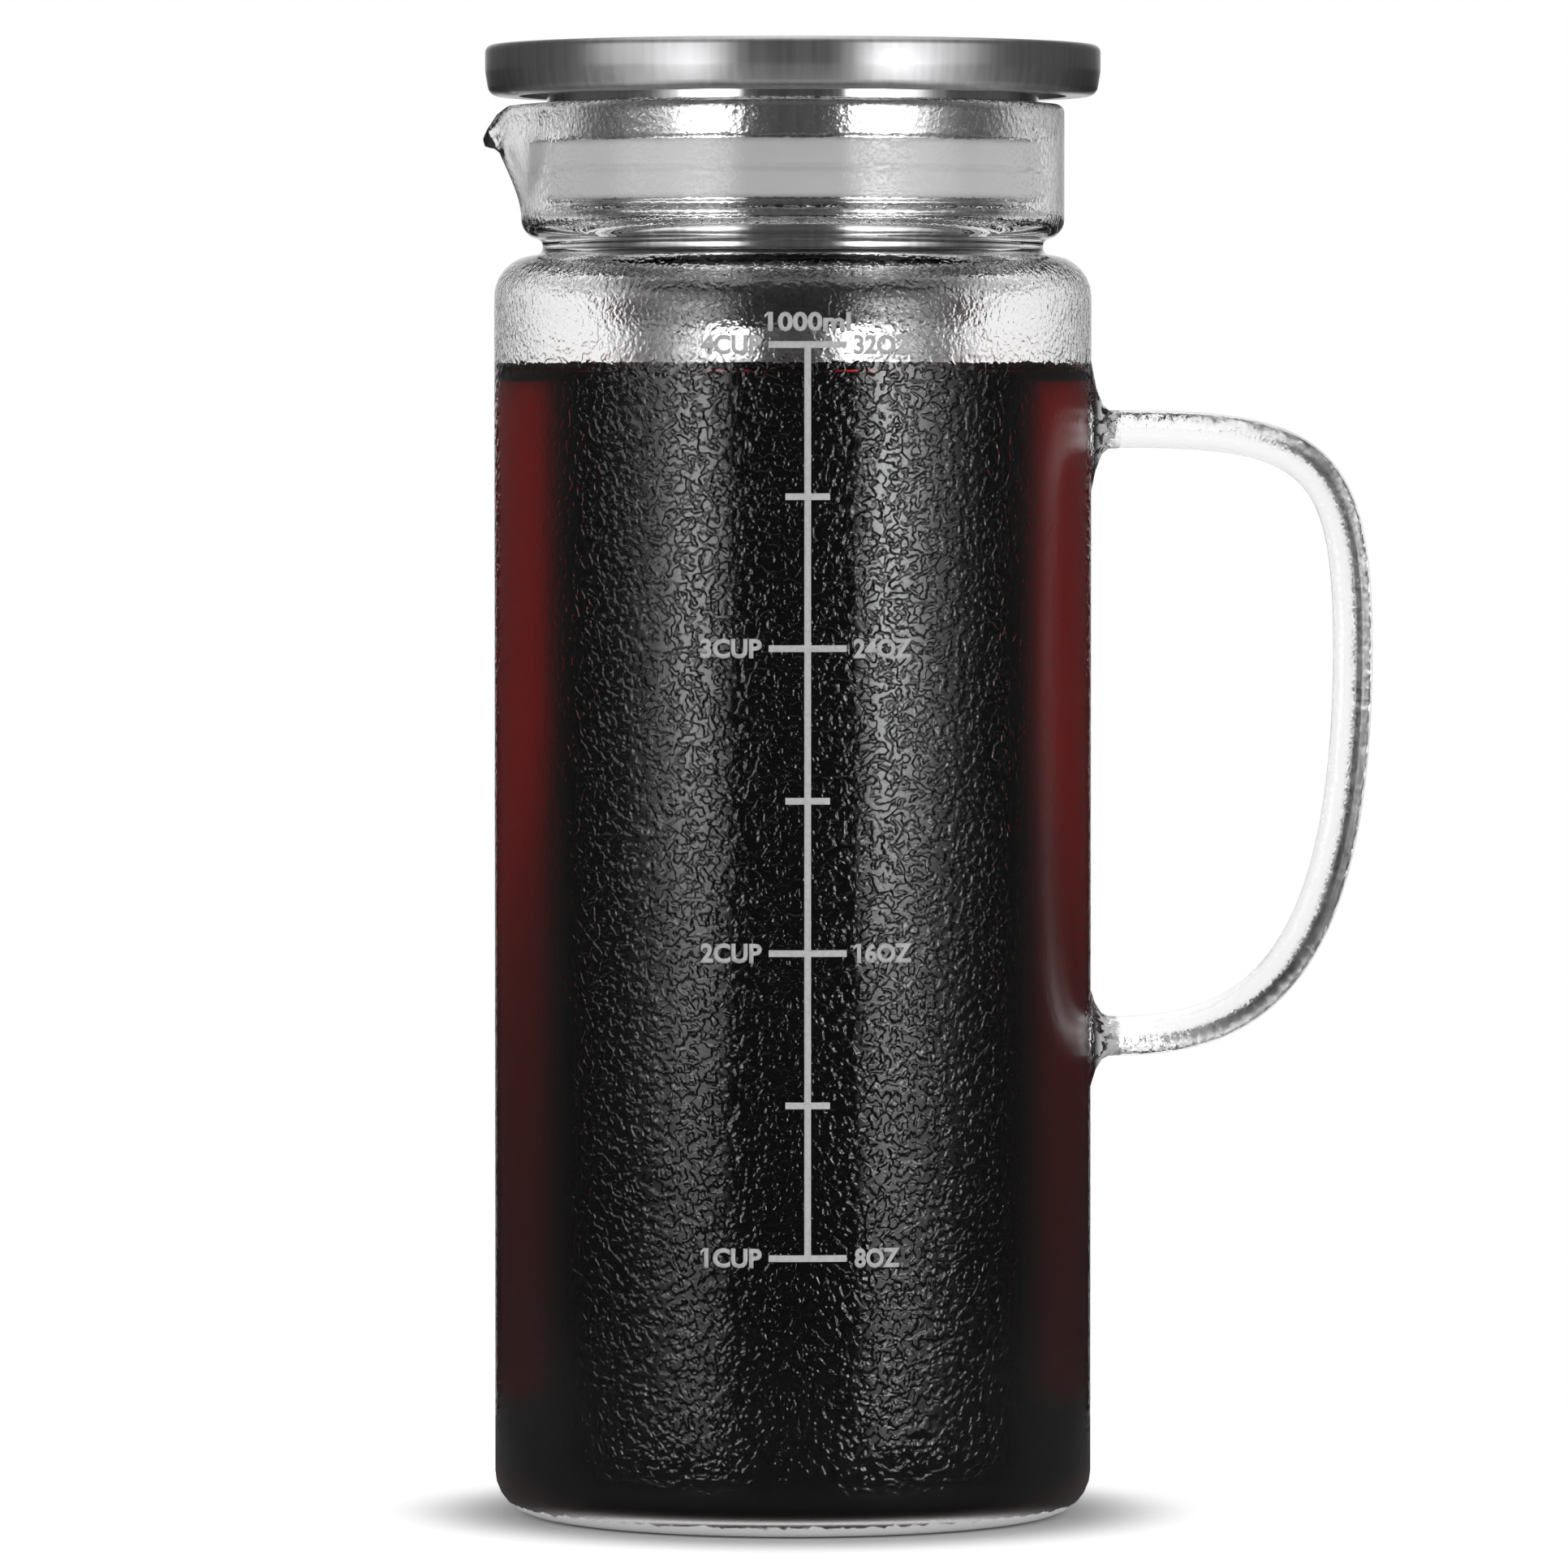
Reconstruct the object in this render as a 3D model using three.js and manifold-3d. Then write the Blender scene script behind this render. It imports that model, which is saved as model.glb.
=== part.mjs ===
import * as THREE from 'three';
import { mergeVertices } from 'three/addons/utils/BufferGeometryUtils.js';
import Module from 'manifold-3d';

// Cold brew coffee maker: a glass carafe with a hanging filter and a steel lid.
// Millimetres, +Z up. The origin is the middle of the base, the spout points to -X
// and the handle to +X.

// Glass carafe: a straight body, a narrow waist and a wide neck
const bodyRadius = 44;
const glassWall = 2.6;
const floorThickness = 3;
const footFillet = 6.2;
const bodyHeight = 184.6;
const shoulderFillet = 6;
const shoulderRise = 1;
const waistRadius = 36.9;
const waistHeight = 2;
const waistFillet = 0.9;
const waistBoreFillet = 1.2;
const neckRise = 0.6;
const neckRadius = 40;
const neckFillet = 2.9;
const neckHeight = 19.4;
const ledgeThickness = 2.9;
const ledgeFillet = 0.8;

// Pouring spout, drawn out of the neck's rim
const spoutStartRise = 2.6;
const spoutReach = 6.4;
const spoutOuterDrop = 6;
const spoutInnerDrop = 3.4;
const spoutHalfAngle = THREE.MathUtils.degToRad(36);
const spoutBellyShare = 0.52;
const spoutRowHeight = 2.3;

// Handle: an oval glass rod, welded to the body at both ends
const rodThickness = 5.6;
const rodWidth = 8;
const handleTopHeight = 159.8;
const handleBottomHeight = 70.3;
const gripHeight = 127.5;
const gripReach = 38.6;
const rodStraightEnd = 1.5;
const handlePullShares = { topOut: 0.84, topDown: 0.88, bottomDown: 0.78, bottomOut: 0.63 };
const weldReach = 2.9;
const weldRootDepth = 0.6;
const topWeldSpread = 10.9;
const bottomWeldSpread = 6;
const weldCurve = 2.6;

// Lid: a steel pan closed below by a steel plug that carries a silicone seal
const lidRadius = 45.3;
const lidHeight = 7.5;
const lidRimGap = 1.2;
const lidSheet = 0.8;
const lidTopFillet = 1.2;
const lidRollFillet = 2;
const lidLipWidth = 5;
const plugRadius = 36.2;
const plugBandHeight = 7.3;
const sealSeatDepth = 1.8;
const plugFootRadius = 36;
const plugFootThickness = 0.9;
const sealDepth = 2.4;
const sealLobeFillet = 1;
const sealGrooveDepth = 0.7;
const sealGrooveWidth = 1.2;

// Filter: a funnel collar on the carafe's ledge, a slotted tube, a mesh and a base cup
const collarSheet = 0.7;
const flangeThickness = 0.8;
const flangeBeadHeight = 0.25;
const flangeBeadWidth = 1.1;
const throatRadius = 33.4;
const throatLength = 5.5;
const tubeRadius = 27.1;
const funnelHeight = 10.2;
const skirtLength = 12;
const funnelFillet = 1.6;
const cageSheet = 0.5;
const cageLap = 9;
const meshThickness = 0.3;
const filterFloorHeight = 18;
const baseSheet = 0.8;
const baseHeight = 8;
const baseFillet = 1.5;
const slotWidth = 11;
const slotHeight = 21;
const slotFillet = 3;
const slotColumns = 6;
const slotRows = 5;
const slotEndMargin = 4;

// Clearances between neighbours, and the overrun of cutters
const fitGap = 0.3;
const cutOverrun = 3;

// Fineness of the facets
const roundSegments = 40;
const arcSagitta = 0.1;
const rodSides = 16;
const rodSteps = 38;
const weldRows = 5;

// Heights that follow from the sizes above
const waistBottom = bodyHeight + shoulderRise;
const waistTop = waistBottom + waistHeight;
const neckBottom = waistTop + neckRise;
const rimHeight = neckBottom + neckHeight;
const ledgeHeight = waistTop + ledgeThickness;
const spoutStart = neckBottom + spoutStartRise;
const boreRadius = bodyRadius - glassWall;
const waistBore = waistRadius - glassWall;
const neckBore = neckRadius - glassWall;
const lidBottom = rimHeight + lidRimGap;
const lidTop = lidBottom + lidHeight;
const flangeBottom = ledgeHeight + fitGap;
const flangeTop = flangeBottom + flangeThickness;
const beadTop = flangeTop + flangeBeadHeight;
const plugBottom = beadTop + fitGap;
const plugBrimBottom = lidBottom + lidSheet;
const sealSeatTop = plugBrimBottom - plugBandHeight;
const sealSeatBottom = plugBottom + plugFootThickness;
const sealSeatRadius = plugRadius - sealSeatDepth;
const throatBottom = flangeBottom - throatLength;
const skirtTop = throatBottom - funnelHeight;
const skirtBottom = skirtTop - skirtLength;
const cageRadius = tubeRadius - collarSheet - fitGap;
const meshRadius = cageRadius - cageSheet - fitGap;
const cageBottom = filterFloorHeight + baseSheet + fitGap;
const cageTop = skirtBottom + cageLap;
const weldFace = bodyRadius + weldReach;

const glass = { color: 0xe9eef0, roughness: 0.05, metalness: 0, transparent: true, opacity: 0.35 };
const brushedSteel = { color: 0xb9bcbe, roughness: 0.32, metalness: 1 };
const filterSteel = { color: 0xa8abad, roughness: 0.4, metalness: 1 };
const silicone = { color: 0xdfe3e2, roughness: 0.6, metalness: 0 };

const wasm = await Module();
wasm.setup();

// A solid for joining and cutting, from a closed three.js geometry.
function toSolid(geometry) {
  const bare = geometry.clone();
  bare.deleteAttribute('normal');
  bare.deleteAttribute('uv');
  const merged = mergeVertices(bare);
  const vertProperties = new Float32Array(merged.attributes.position.array);
  const triVerts = new Uint32Array(merged.index.array);
  return new wasm.Manifold(new wasm.Mesh({ numProp: 3, vertProperties, triVerts }));
}

// A three.js geometry from a joined or cut solid.
function toGeometry(solid) {
  const { vertProperties, triVerts } = solid.getMesh();
  const geometry = new THREE.BufferGeometry();
  geometry.setAttribute('position', new THREE.BufferAttribute(vertProperties, 3));
  geometry.setIndex(new THREE.BufferAttribute(triVerts, 1));
  geometry.computeVertexNormals();
  return geometry;
}

// The points of an outline whose corners [radius, height, fillet] are rounded.
function roundedOutline(corners) {
  const places = corners.map(([radius, height]) => new THREE.Vector2(radius, height));
  return corners.flatMap(([, , fillet = 0], index) => {
    const corner = places[index];
    if (fillet === 0) return [corner];
    const toLast = places[index - 1].clone().sub(corner).normalize();
    const toNext = places[index + 1].clone().sub(corner).normalize();
    const halfAngle = Math.acos(toLast.dot(toNext)) / 2;
    const tangent = fillet / Math.tan(halfAngle);
    const middle = toLast.clone().add(toNext).setLength(fillet / Math.sin(halfAngle)).add(corner);
    const first = toLast.multiplyScalar(tangent).add(corner).sub(middle);
    const last = toNext.multiplyScalar(tangent).add(corner).sub(middle);
    const turn = Math.PI - 2 * halfAngle;
    const step = 2 * Math.acos(1 - Math.min(1, arcSagitta / fillet));
    const steps = Math.max(2, Math.ceil(turn / step));
    return Array.from({ length: steps + 1 }, (_, number) => {
      const share = number / steps;
      const fromFirst = first.clone().multiplyScalar(Math.sin((1 - share) * turn));
      const fromLast = last.clone().multiplyScalar(Math.sin(share * turn));
      return fromFirst.add(fromLast).divideScalar(Math.sin(turn)).add(middle);
    });
  });
}

// Rows of points on the edges that are steeper than they are wide, above a height.
function splitTallEdges(outline, above, rowHeight) {
  return outline.flatMap((point, index) => {
    const next = outline[index + 1];
    if (!next || Math.min(point.y, next.y) < above - rowHeight) return [point];
    const rows = Math.max(1, Math.round(Math.abs(next.y - point.y) / rowHeight));
    return Array.from({ length: rows }, (_, row) => point.clone().lerp(next, row / rows));
  });
}

// A turned body around the Z axis.
function turned(outline, segments = roundSegments) {
  return new THREE.LatheGeometry(outline, segments).rotateX(Math.PI / 2);
}

function closed(outline) {
  return [...outline, outline[0].clone()];
}

function place(group, name, geometry, finish) {
  const mesh = new THREE.Mesh(geometry, new THREE.MeshStandardMaterial(finish));
  mesh.name = name;
  group.add(mesh);
}

// The neck's wall is drawn out and its rim dips where the coffee pours.
function drawSpout(geometry) {
  const position = geometry.attributes.position;
  for (let index = 0; index < position.count; index += 1) {
    const x = position.getX(index);
    const y = position.getY(index);
    const z = position.getZ(index);
    const spread = Math.abs(Math.atan2(y, -x)) / spoutHalfAngle;
    if (z <= spoutStart || spread >= 1) continue;
    const radius = Math.hypot(x, y);
    const pull = (1 + Math.cos(Math.PI * spread)) / 2;
    const rise = (z - spoutStart) / (rimHeight - spoutStart);
    const belly = spoutBellyShare * rise ** 1.2 + (1 - spoutBellyShare) * rise ** 6;
    const inward = (neckRadius - radius) / glassWall;
    const drop = THREE.MathUtils.lerp(spoutOuterDrop, spoutInnerDrop, inward);
    const growth = (radius + spoutReach * pull * belly) / radius;
    position.setXYZ(index, x * growth, y * growth, z - drop * pull ** 3 * rise ** 2.5);
  }
  return geometry;
}

// The glass flares from the rod's oval into the body's wall, and its root follows the wall.
function weld(height, spread) {
  const geometry = new THREE.CylinderGeometry(1, 1, 1, rodSides, weldRows);
  const position = geometry.attributes.position;
  const rootRadius = bodyRadius - weldRootDepth;
  for (let index = 0; index < position.count; index += 1) {
    const along = position.getY(index) + 0.5;
    const flare = spread * (1 - along) ** weldCurve;
    const y = -position.getX(index) * (rodWidth / 2 + flare);
    const z = position.getZ(index) * (rodThickness / 2 + flare);
    const root = Math.sqrt(rootRadius ** 2 - y ** 2);
    position.setXYZ(index, THREE.MathUtils.lerp(root, weldFace, along), y, height + z);
  }
  return geometry;
}

function carafe() {
  const outside = roundedOutline([
    [0, 0],
    [bodyRadius, 0, footFillet],
    [bodyRadius, bodyHeight, shoulderFillet],
    [waistRadius, waistBottom, waistFillet],
    [waistRadius, waistTop, waistFillet],
    [neckRadius, neckBottom, neckFillet],
    [neckRadius, rimHeight, glassWall / 2],
    [neckBore, rimHeight, glassWall / 2],
    [neckBore, ledgeHeight, ledgeFillet],
    [waistBore, ledgeHeight, ledgeFillet],
    [waistBore, waistBottom - glassWall, waistBoreFillet],
    [boreRadius, bodyHeight - glassWall, shoulderFillet - glassWall],
    [boreRadius, floorThickness, footFillet - glassWall],
    [0, floorThickness],
  ]);
  const body = drawSpout(turned(splitTallEdges(outside, spoutStart, spoutRowHeight)));
  const topWeld = toSolid(weld(handleTopHeight, topWeldSpread));
  const bottomWeld = toSolid(weld(handleBottomHeight, bottomWeldSpread));
  return toGeometry(toSolid(body).add(topWeld).add(bottomWeld));
}

// The rod leaves both welds level, and its grip stands furthest out at its own height.
function handle() {
  const grip = bodyRadius + gripReach;
  const straightEnd = weldFace + rodStraightEnd;
  const out = grip - straightEnd;
  const topDrop = handleTopHeight - gripHeight;
  const bottomDrop = gripHeight - handleBottomHeight;
  const point = (x, z) => new THREE.Vector3(x, 0, z);
  const topWeldEnd = point(weldFace, handleTopHeight);
  const topStart = point(straightEnd, handleTopHeight);
  const topPull = point(straightEnd + handlePullShares.topOut * out, handleTopHeight);
  const gripPullUp = point(grip, gripHeight + handlePullShares.topDown * topDrop);
  const gripMiddle = point(grip, gripHeight);
  const gripPullDown = point(grip, gripHeight - handlePullShares.bottomDown * bottomDrop);
  const bottomPull = point(straightEnd + handlePullShares.bottomOut * out, handleBottomHeight);
  const bottomEnd = point(straightEnd, handleBottomHeight);
  const bottomWeldEnd = point(weldFace, handleBottomHeight);
  const path = new THREE.CurvePath();
  path.add(new THREE.LineCurve3(topWeldEnd, topStart));
  path.add(new THREE.CubicBezierCurve3(topStart, topPull, gripPullUp, gripMiddle));
  path.add(new THREE.CubicBezierCurve3(gripMiddle, gripPullDown, bottomPull, bottomEnd));
  path.add(new THREE.LineCurve3(bottomEnd, bottomWeldEnd));
  const section = new THREE.Shape();
  section.absellipse(0, 0, rodThickness / 2, rodWidth / 2, 0, 2 * Math.PI);
  const options = { steps: rodSteps, curveSegments: rodSides / 2, extrudePath: path };
  return new THREE.ExtrudeGeometry(section, options);
}

// A pan of thin sheet, rolled inwards at the bottom to hold the plug's brim.
function lidCap() {
  const lip = lidRadius - lidLipWidth;
  return turned(roundedOutline([
    [0, lidTop - lidSheet],
    [lidRadius - lidSheet, lidTop - lidSheet, lidTopFillet - lidSheet],
    [lidRadius - lidSheet, lidBottom + lidSheet, lidRollFillet - lidSheet],
    [lip, lidBottom + lidSheet],
    [lip, lidBottom],
    [lidRadius, lidBottom, lidRollFillet],
    [lidRadius, lidTop, lidTopFillet],
    [0, lidTop],
  ]));
}

// A cup that fills the neck: brim above, a seat for the seal, and a flat floor.
function lidPlug() {
  const brim = lidRadius - lidRollFillet;
  return turned(roundedOutline([
    [0, plugBottom],
    [plugFootRadius, plugBottom, plugFootThickness / 2],
    [plugFootRadius, sealSeatBottom],
    [sealSeatRadius, sealSeatBottom],
    [sealSeatRadius, sealSeatTop],
    [plugRadius, sealSeatTop],
    [plugRadius, plugBrimBottom],
    [brim, plugBrimBottom],
    [brim, plugBrimBottom + lidSheet],
    [plugRadius - lidSheet, plugBrimBottom + lidSheet],
    [plugRadius - lidSheet, sealSeatTop + lidSheet],
    [sealSeatRadius - lidSheet, sealSeatTop + lidSheet],
    [sealSeatRadius - lidSheet, plugBottom + lidSheet],
    [0, plugBottom + lidSheet],
  ]));
}

// A silicone sleeve with two round lobes and a groove between them.
function lidSeal() {
  const inner = sealSeatRadius + fitGap;
  const outer = inner + sealDepth;
  const bottom = sealSeatBottom + fitGap;
  const top = sealSeatTop - fitGap;
  const middle = (bottom + top) / 2;
  const groove = outer - sealGrooveDepth;
  return turned(closed(roundedOutline([
    [inner, bottom],
    [outer, bottom, sealLobeFillet],
    [outer, middle - sealGrooveWidth / 2, sealGrooveDepth / 2],
    [groove, middle],
    [outer, middle + sealGrooveWidth / 2, sealGrooveDepth / 2],
    [outer, top, sealLobeFillet],
    [inner, top],
  ])));
}

// A flange with a beaded edge hangs on the ledge, and a funnel narrows it to the tube.
function filterCollar() {
  const flange = neckBore - fitGap;
  const bead = flange - flangeBeadWidth;
  const throat = throatRadius - collarSheet;
  const tube = tubeRadius - collarSheet;
  return turned(closed(roundedOutline([
    [tubeRadius, skirtBottom],
    [tubeRadius, skirtTop, funnelFillet],
    [throatRadius, throatBottom, funnelFillet],
    [throatRadius, flangeBottom],
    [flange, flangeBottom],
    [flange, beadTop, flangeBeadWidth / 2],
    [bead, beadTop],
    [bead, flangeTop],
    [throat, flangeTop],
    [throat, throatBottom, funnelFillet],
    [tube, skirtTop, funnelFillet],
    [tube, skirtBottom],
  ])));
}

// One rounded window, cut through the tube's wall on the side that an angle names.
function slotCutter(angle, height) {
  const shape = new THREE.Shape();
  const right = slotWidth / 2;
  const up = slotHeight / 2;
  shape.moveTo(slotFillet - right, -up);
  shape.lineTo(right - slotFillet, -up);
  shape.quadraticCurveTo(right, -up, right, slotFillet - up);
  shape.lineTo(right, up - slotFillet);
  shape.quadraticCurveTo(right, up, right - slotFillet, up);
  shape.lineTo(slotFillet - right, up);
  shape.quadraticCurveTo(-right, up, -right, up - slotFillet);
  shape.lineTo(-right, slotFillet - up);
  shape.quadraticCurveTo(-right, -up, slotFillet - right, -up);
  const depth = cageSheet + 2 * cutOverrun;
  const cutter = new THREE.ExtrudeGeometry(shape, { depth, bevelEnabled: false, curveSegments: 1 });
  cutter.rotateX(Math.PI / 2);
  cutter.translate(0, cutOverrun - cageRadius, height);
  cutter.rotateZ(angle);
  return toSolid(cutter);
}

// The tube that stiffens the mesh, with rows of windows between its two plain ends.
function filterCage() {
  const tube = turned(closed(roundedOutline([
    [cageRadius - cageSheet, cageBottom],
    [cageRadius, cageBottom],
    [cageRadius, cageTop],
    [cageRadius - cageSheet, cageTop],
  ])));
  const first = filterFloorHeight + baseHeight + slotEndMargin + slotHeight / 2;
  const last = skirtBottom - slotEndMargin - slotHeight / 2;
  let cage = toSolid(tube);
  for (let row = 0; row < slotRows; row += 1) {
    const height = THREE.MathUtils.lerp(first, last, row / (slotRows - 1));
    for (let column = 0; column < slotColumns; column += 1) {
      cage = cage.subtract(slotCutter((2 * Math.PI * column) / slotColumns, height));
    }
  }
  return toGeometry(cage);
}

function filterMesh() {
  return turned(closed(roundedOutline([
    [meshRadius - meshThickness, cageBottom],
    [meshRadius, cageBottom],
    [meshRadius, cageTop],
    [meshRadius - meshThickness, cageTop],
  ])));
}

// A shallow cup that closes the tube's lower end.
function filterBase() {
  const top = filterFloorHeight + baseHeight;
  const floor = filterFloorHeight + baseSheet;
  const bore = cageRadius + fitGap;
  return turned(roundedOutline([
    [0, filterFloorHeight],
    [tubeRadius, filterFloorHeight, baseFillet],
    [tubeRadius, top],
    [bore, top],
    [bore, floor],
    [0, floor],
  ]));
}

const coldBrewMaker = new THREE.Group();
coldBrewMaker.name = 'cold_brew_coffee_maker';
place(coldBrewMaker, 'glass_carafe', carafe(), glass);
place(coldBrewMaker, 'glass_handle', handle(), glass);
place(coldBrewMaker, 'lid_cap', lidCap(), brushedSteel);
place(coldBrewMaker, 'lid_plug', lidPlug(), brushedSteel);
place(coldBrewMaker, 'lid_seal', lidSeal(), silicone);
place(coldBrewMaker, 'filter_collar', filterCollar(), filterSteel);
place(coldBrewMaker, 'filter_cage', filterCage(), filterSteel);
place(coldBrewMaker, 'filter_mesh', filterMesh(), filterSteel);
place(coldBrewMaker, 'filter_base', filterBase(), filterSteel);

export default coldBrewMaker;
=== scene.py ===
# %% [markdown]
# # A cold brew coffee maker
# The maker is a glass jug with a looped glass handle, a steel filter that hangs in its
# neck, and a steel lid with a silicone seal. The construction model already holds every
# piece at its real size, so this lesson only gives each piece its fine surface, its
# finish and its light. Everything is in metres, in the frame of that model: +Z is up,
# the pouring lip points to -X, the handle to +X, and the front with the scale to -Y.

# %% The construction model as a frame
import math

import bpy
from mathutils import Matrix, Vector


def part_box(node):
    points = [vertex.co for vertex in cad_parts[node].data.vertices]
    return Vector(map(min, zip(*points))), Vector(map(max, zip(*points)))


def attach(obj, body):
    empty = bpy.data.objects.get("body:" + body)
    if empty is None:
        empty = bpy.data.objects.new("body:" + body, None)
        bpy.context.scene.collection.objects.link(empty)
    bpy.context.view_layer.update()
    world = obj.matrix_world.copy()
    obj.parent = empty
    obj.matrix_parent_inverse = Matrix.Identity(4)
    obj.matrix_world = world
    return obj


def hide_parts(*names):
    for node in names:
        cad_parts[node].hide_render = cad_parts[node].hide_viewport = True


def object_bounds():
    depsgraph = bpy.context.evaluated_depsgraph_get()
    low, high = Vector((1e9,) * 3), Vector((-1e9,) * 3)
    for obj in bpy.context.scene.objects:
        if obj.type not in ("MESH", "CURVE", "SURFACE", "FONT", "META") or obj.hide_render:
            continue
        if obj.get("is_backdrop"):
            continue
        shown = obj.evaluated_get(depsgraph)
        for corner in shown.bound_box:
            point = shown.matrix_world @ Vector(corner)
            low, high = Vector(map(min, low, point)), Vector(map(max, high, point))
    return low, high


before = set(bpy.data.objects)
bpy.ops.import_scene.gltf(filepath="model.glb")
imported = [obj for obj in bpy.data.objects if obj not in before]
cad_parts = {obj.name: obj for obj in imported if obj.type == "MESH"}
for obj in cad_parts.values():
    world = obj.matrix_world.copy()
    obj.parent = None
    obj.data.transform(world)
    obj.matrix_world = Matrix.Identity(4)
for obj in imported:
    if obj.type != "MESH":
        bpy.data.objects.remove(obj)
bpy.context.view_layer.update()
mm = 0.001
print("nodes:", sorted(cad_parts))

# %% [markdown]
# ## The camera
# A product photograph is taken from far away with a long lens, so that upright edges
# stay parallel. The camera stands 1.6 m in front of the jug, a little below the lid, and
# tilts down slightly. A long lens gives the same picture as a large shift would, and it
# leaves the shift at zero for the other views.

# %% Camera
camera_distance = 1601 * mm
camera_height = 165 * mm
aim_height = 107.5 * mm
picture_width = 231.4 * mm
picture_side = -1.3 * mm

bpy.ops.object.select_all(action="DESELECT")
bpy.ops.object.camera_add(location=(picture_side, -camera_distance, camera_height))
camera = bpy.context.object
camera.name = "camera"
aim = Vector((picture_side, 0, aim_height)) - camera.location
camera.rotation_euler = aim.to_track_quat("-Z", "Y").to_euler()
camera.data.lens = camera.data.sensor_width * aim.length / picture_width
camera.data.clip_start = 0.01
bpy.context.scene.camera = camera
tilt = math.degrees(aim.z / aim.length)
print("lens in mm:", round(camera.data.lens, 1), "tilt:", round(tilt, 2))

# %% [markdown]
# ## The light
# Glass has no look of its own: it shows what stands round it. Behind the jug the studio
# is white, so the clear glass reads as white with grey outlines. At the sides it is dark,
# which draws the edges of the dark coffee. Two tall soft boxes stand in front, left and
# right, each with a weaker one above it, and give the two soft upright bands on the glass
# and on the lid. The world holds the studio's walls, by their direction, and one wide
# lamp hangs above.

# %% Helpers that add shader nodes, set their values and link their inputs
def add_node(tree, kind, sockets=None, **settings):
    """Adds a node; its kind is written without the ShaderNode that all kinds start with."""
    made = tree.nodes.new("ShaderNode" + kind)
    for key, value in settings.items():
        setattr(made, key, value)
    for key, value in (sockets or {}).items():
        if isinstance(value, bpy.types.NodeSocket):
            tree.links.new(value, made.inputs[key])
        else:
            made.inputs[key].default_value = value
    return made


def math_node(tree, operation, *values):
    sockets = dict(enumerate(values))
    return add_node(tree, "Math", sockets, operation=operation).outputs[0]


def times(tree, first, second):
    return math_node(tree, "MULTIPLY", first, second)


def plus(tree, first, second):
    return math_node(tree, "ADD", first, second)


def parts_of(tree, vector):
    split = add_node(tree, "SeparateXYZ", {0: vector})
    return split.outputs["X"], split.outputs["Y"], split.outputs["Z"]


def flat_length(tree, x, y):
    return math_node(tree, "SQRT", plus(tree, times(tree, x, x), times(tree, y, y)))


def map_range(tree, value, low, high, to_low=0.0, to_high=1.0):
    """A soft step from one value to another while the input goes from low to high."""
    sockets = {"Value": value, 1: low, 2: high, 3: to_low, 4: to_high}
    made = add_node(tree, "MapRange", sockets, interpolation_type="SMOOTHSTEP")
    return made.outputs[0]


def mixed(tree, share, first, second):
    sockets = {"Factor": share, 6: first, 7: second}
    return add_node(tree, "Mix", sockets, data_type="RGBA").outputs[2]


def ramp_node(tree, factor, stops):
    """A colour ramp; each stop is a place and a grey tone or a colour."""
    made = add_node(tree, "ValToRGB", {"Fac": factor})
    elements = made.color_ramp.elements
    while len(elements) < len(stops):
        elements.new(0.5)
    for element, (place, shade) in zip(elements, stops):
        element.position = place
        tone = shade if isinstance(shade, tuple) else (shade, shade, shade)
        element.color = (*tone, 1)
    return made.outputs["Color"]

# %% The studio's walls, by direction
world = bpy.data.worlds.new("studio")
bpy.context.scene.world = world
world.use_nodes = True
walls = world.node_tree
walls.nodes.clear()
direction = add_node(walls, "TexCoord").outputs["Generated"]
sideways, backwards, upwards = parts_of(walls, direction)
# The bearing is 1 straight behind the jug, 0 at its sides and -1 at the front.
bearing = math_node(walls, "DIVIDE", backwards, flat_length(walls, sideways, backwards))
bearing_share = math_node(walls, "MULTIPLY_ADD", bearing, 0.5, 0.5)


def bearing_place(degrees):
    """The ramp's place of a wall that stands so many degrees from straight behind."""
    return (math.cos(math.radians(degrees)) + 1) / 2


def wall_ramp(*stops):
    """A ramp by bearing; its stops are degrees from straight behind, and a tone."""
    places = [(bearing_place(degrees), tone) for degrees, tone in stops]
    return ramp_node(walls, bearing_share, places)


# Black cards stand beside the jug, as high as the camera. Above them the walls are white.
white = (1, 1, 1, 1)
pale = (0.8, 0.8, 0.8, 1)
plain_light = (0.32, 0.32, 0.32, 1)
above_cards = map_range(walls, upwards, -0.002, 0.004)
off_cards = map_range(walls, math_node(walls, "ABSOLUTE", upwards), 0.35, 0.6)
towards_floor = map_range(walls, upwards, -0.28, -0.5)

# %% What the clear glass shows, and what shiny surfaces mirror
cards = wall_ramp((180, 0.4), (105, 0.38), (92, 0.42), (78, 0.95), (66, 1.0), (0, 1.0))
open_walls = wall_ramp((180, 0.48), (120, 0.5), (100, 0.85), (85, 1.0))
seen_low = mixed(walls, off_cards, cards, pale)
through_glass = mixed(walls, above_cards, seen_low, open_walls)
cards_mirrored = wall_ramp(
    (180, 0.07), (150, 0.08), (100, 0.09), (63, 0.1), (42, 0.03), (10, 0.02), (3, 0.9)
)
table_mirrored = wall_ramp(
    (180, 0.46), (140, 0.6), (117, 0.95), (94, 0.42), (66, 0.18), (40, 0.13), (0, 0.13)
)
mirrored_low = mixed(walls, towards_floor, cards_mirrored, table_mirrored)
mirrored_high = wall_ramp((180, 0.09), (150, 0.1), (90, 0.12), (46, 0.1), (20, 0.15), (8, 0.8))
mirrored = mixed(walls, above_cards, mirrored_low, mirrored_high)
inside_low = wall_ramp((180, 0.25), (100, 0.2), (70, 0.1), (50, 0.06), (36, 0.5), (24, 0.95))
inside_high = wall_ramp((180, 0.3), (110, 0.35), (92, 0.5), (78, 0.8), (66, 1.0))
inside_steep = mixed(walls, off_cards, inside_low, pale)
mirrored_near = mixed(walls, above_cards, inside_steep, inside_high)
inside_deep = wall_ramp((180, 0.07), (150, 0.09), (110, 0.12), (78, 0.12), (64, 0.4), (50, 1.0))
rays = add_node(walls, "LightPath")
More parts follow.
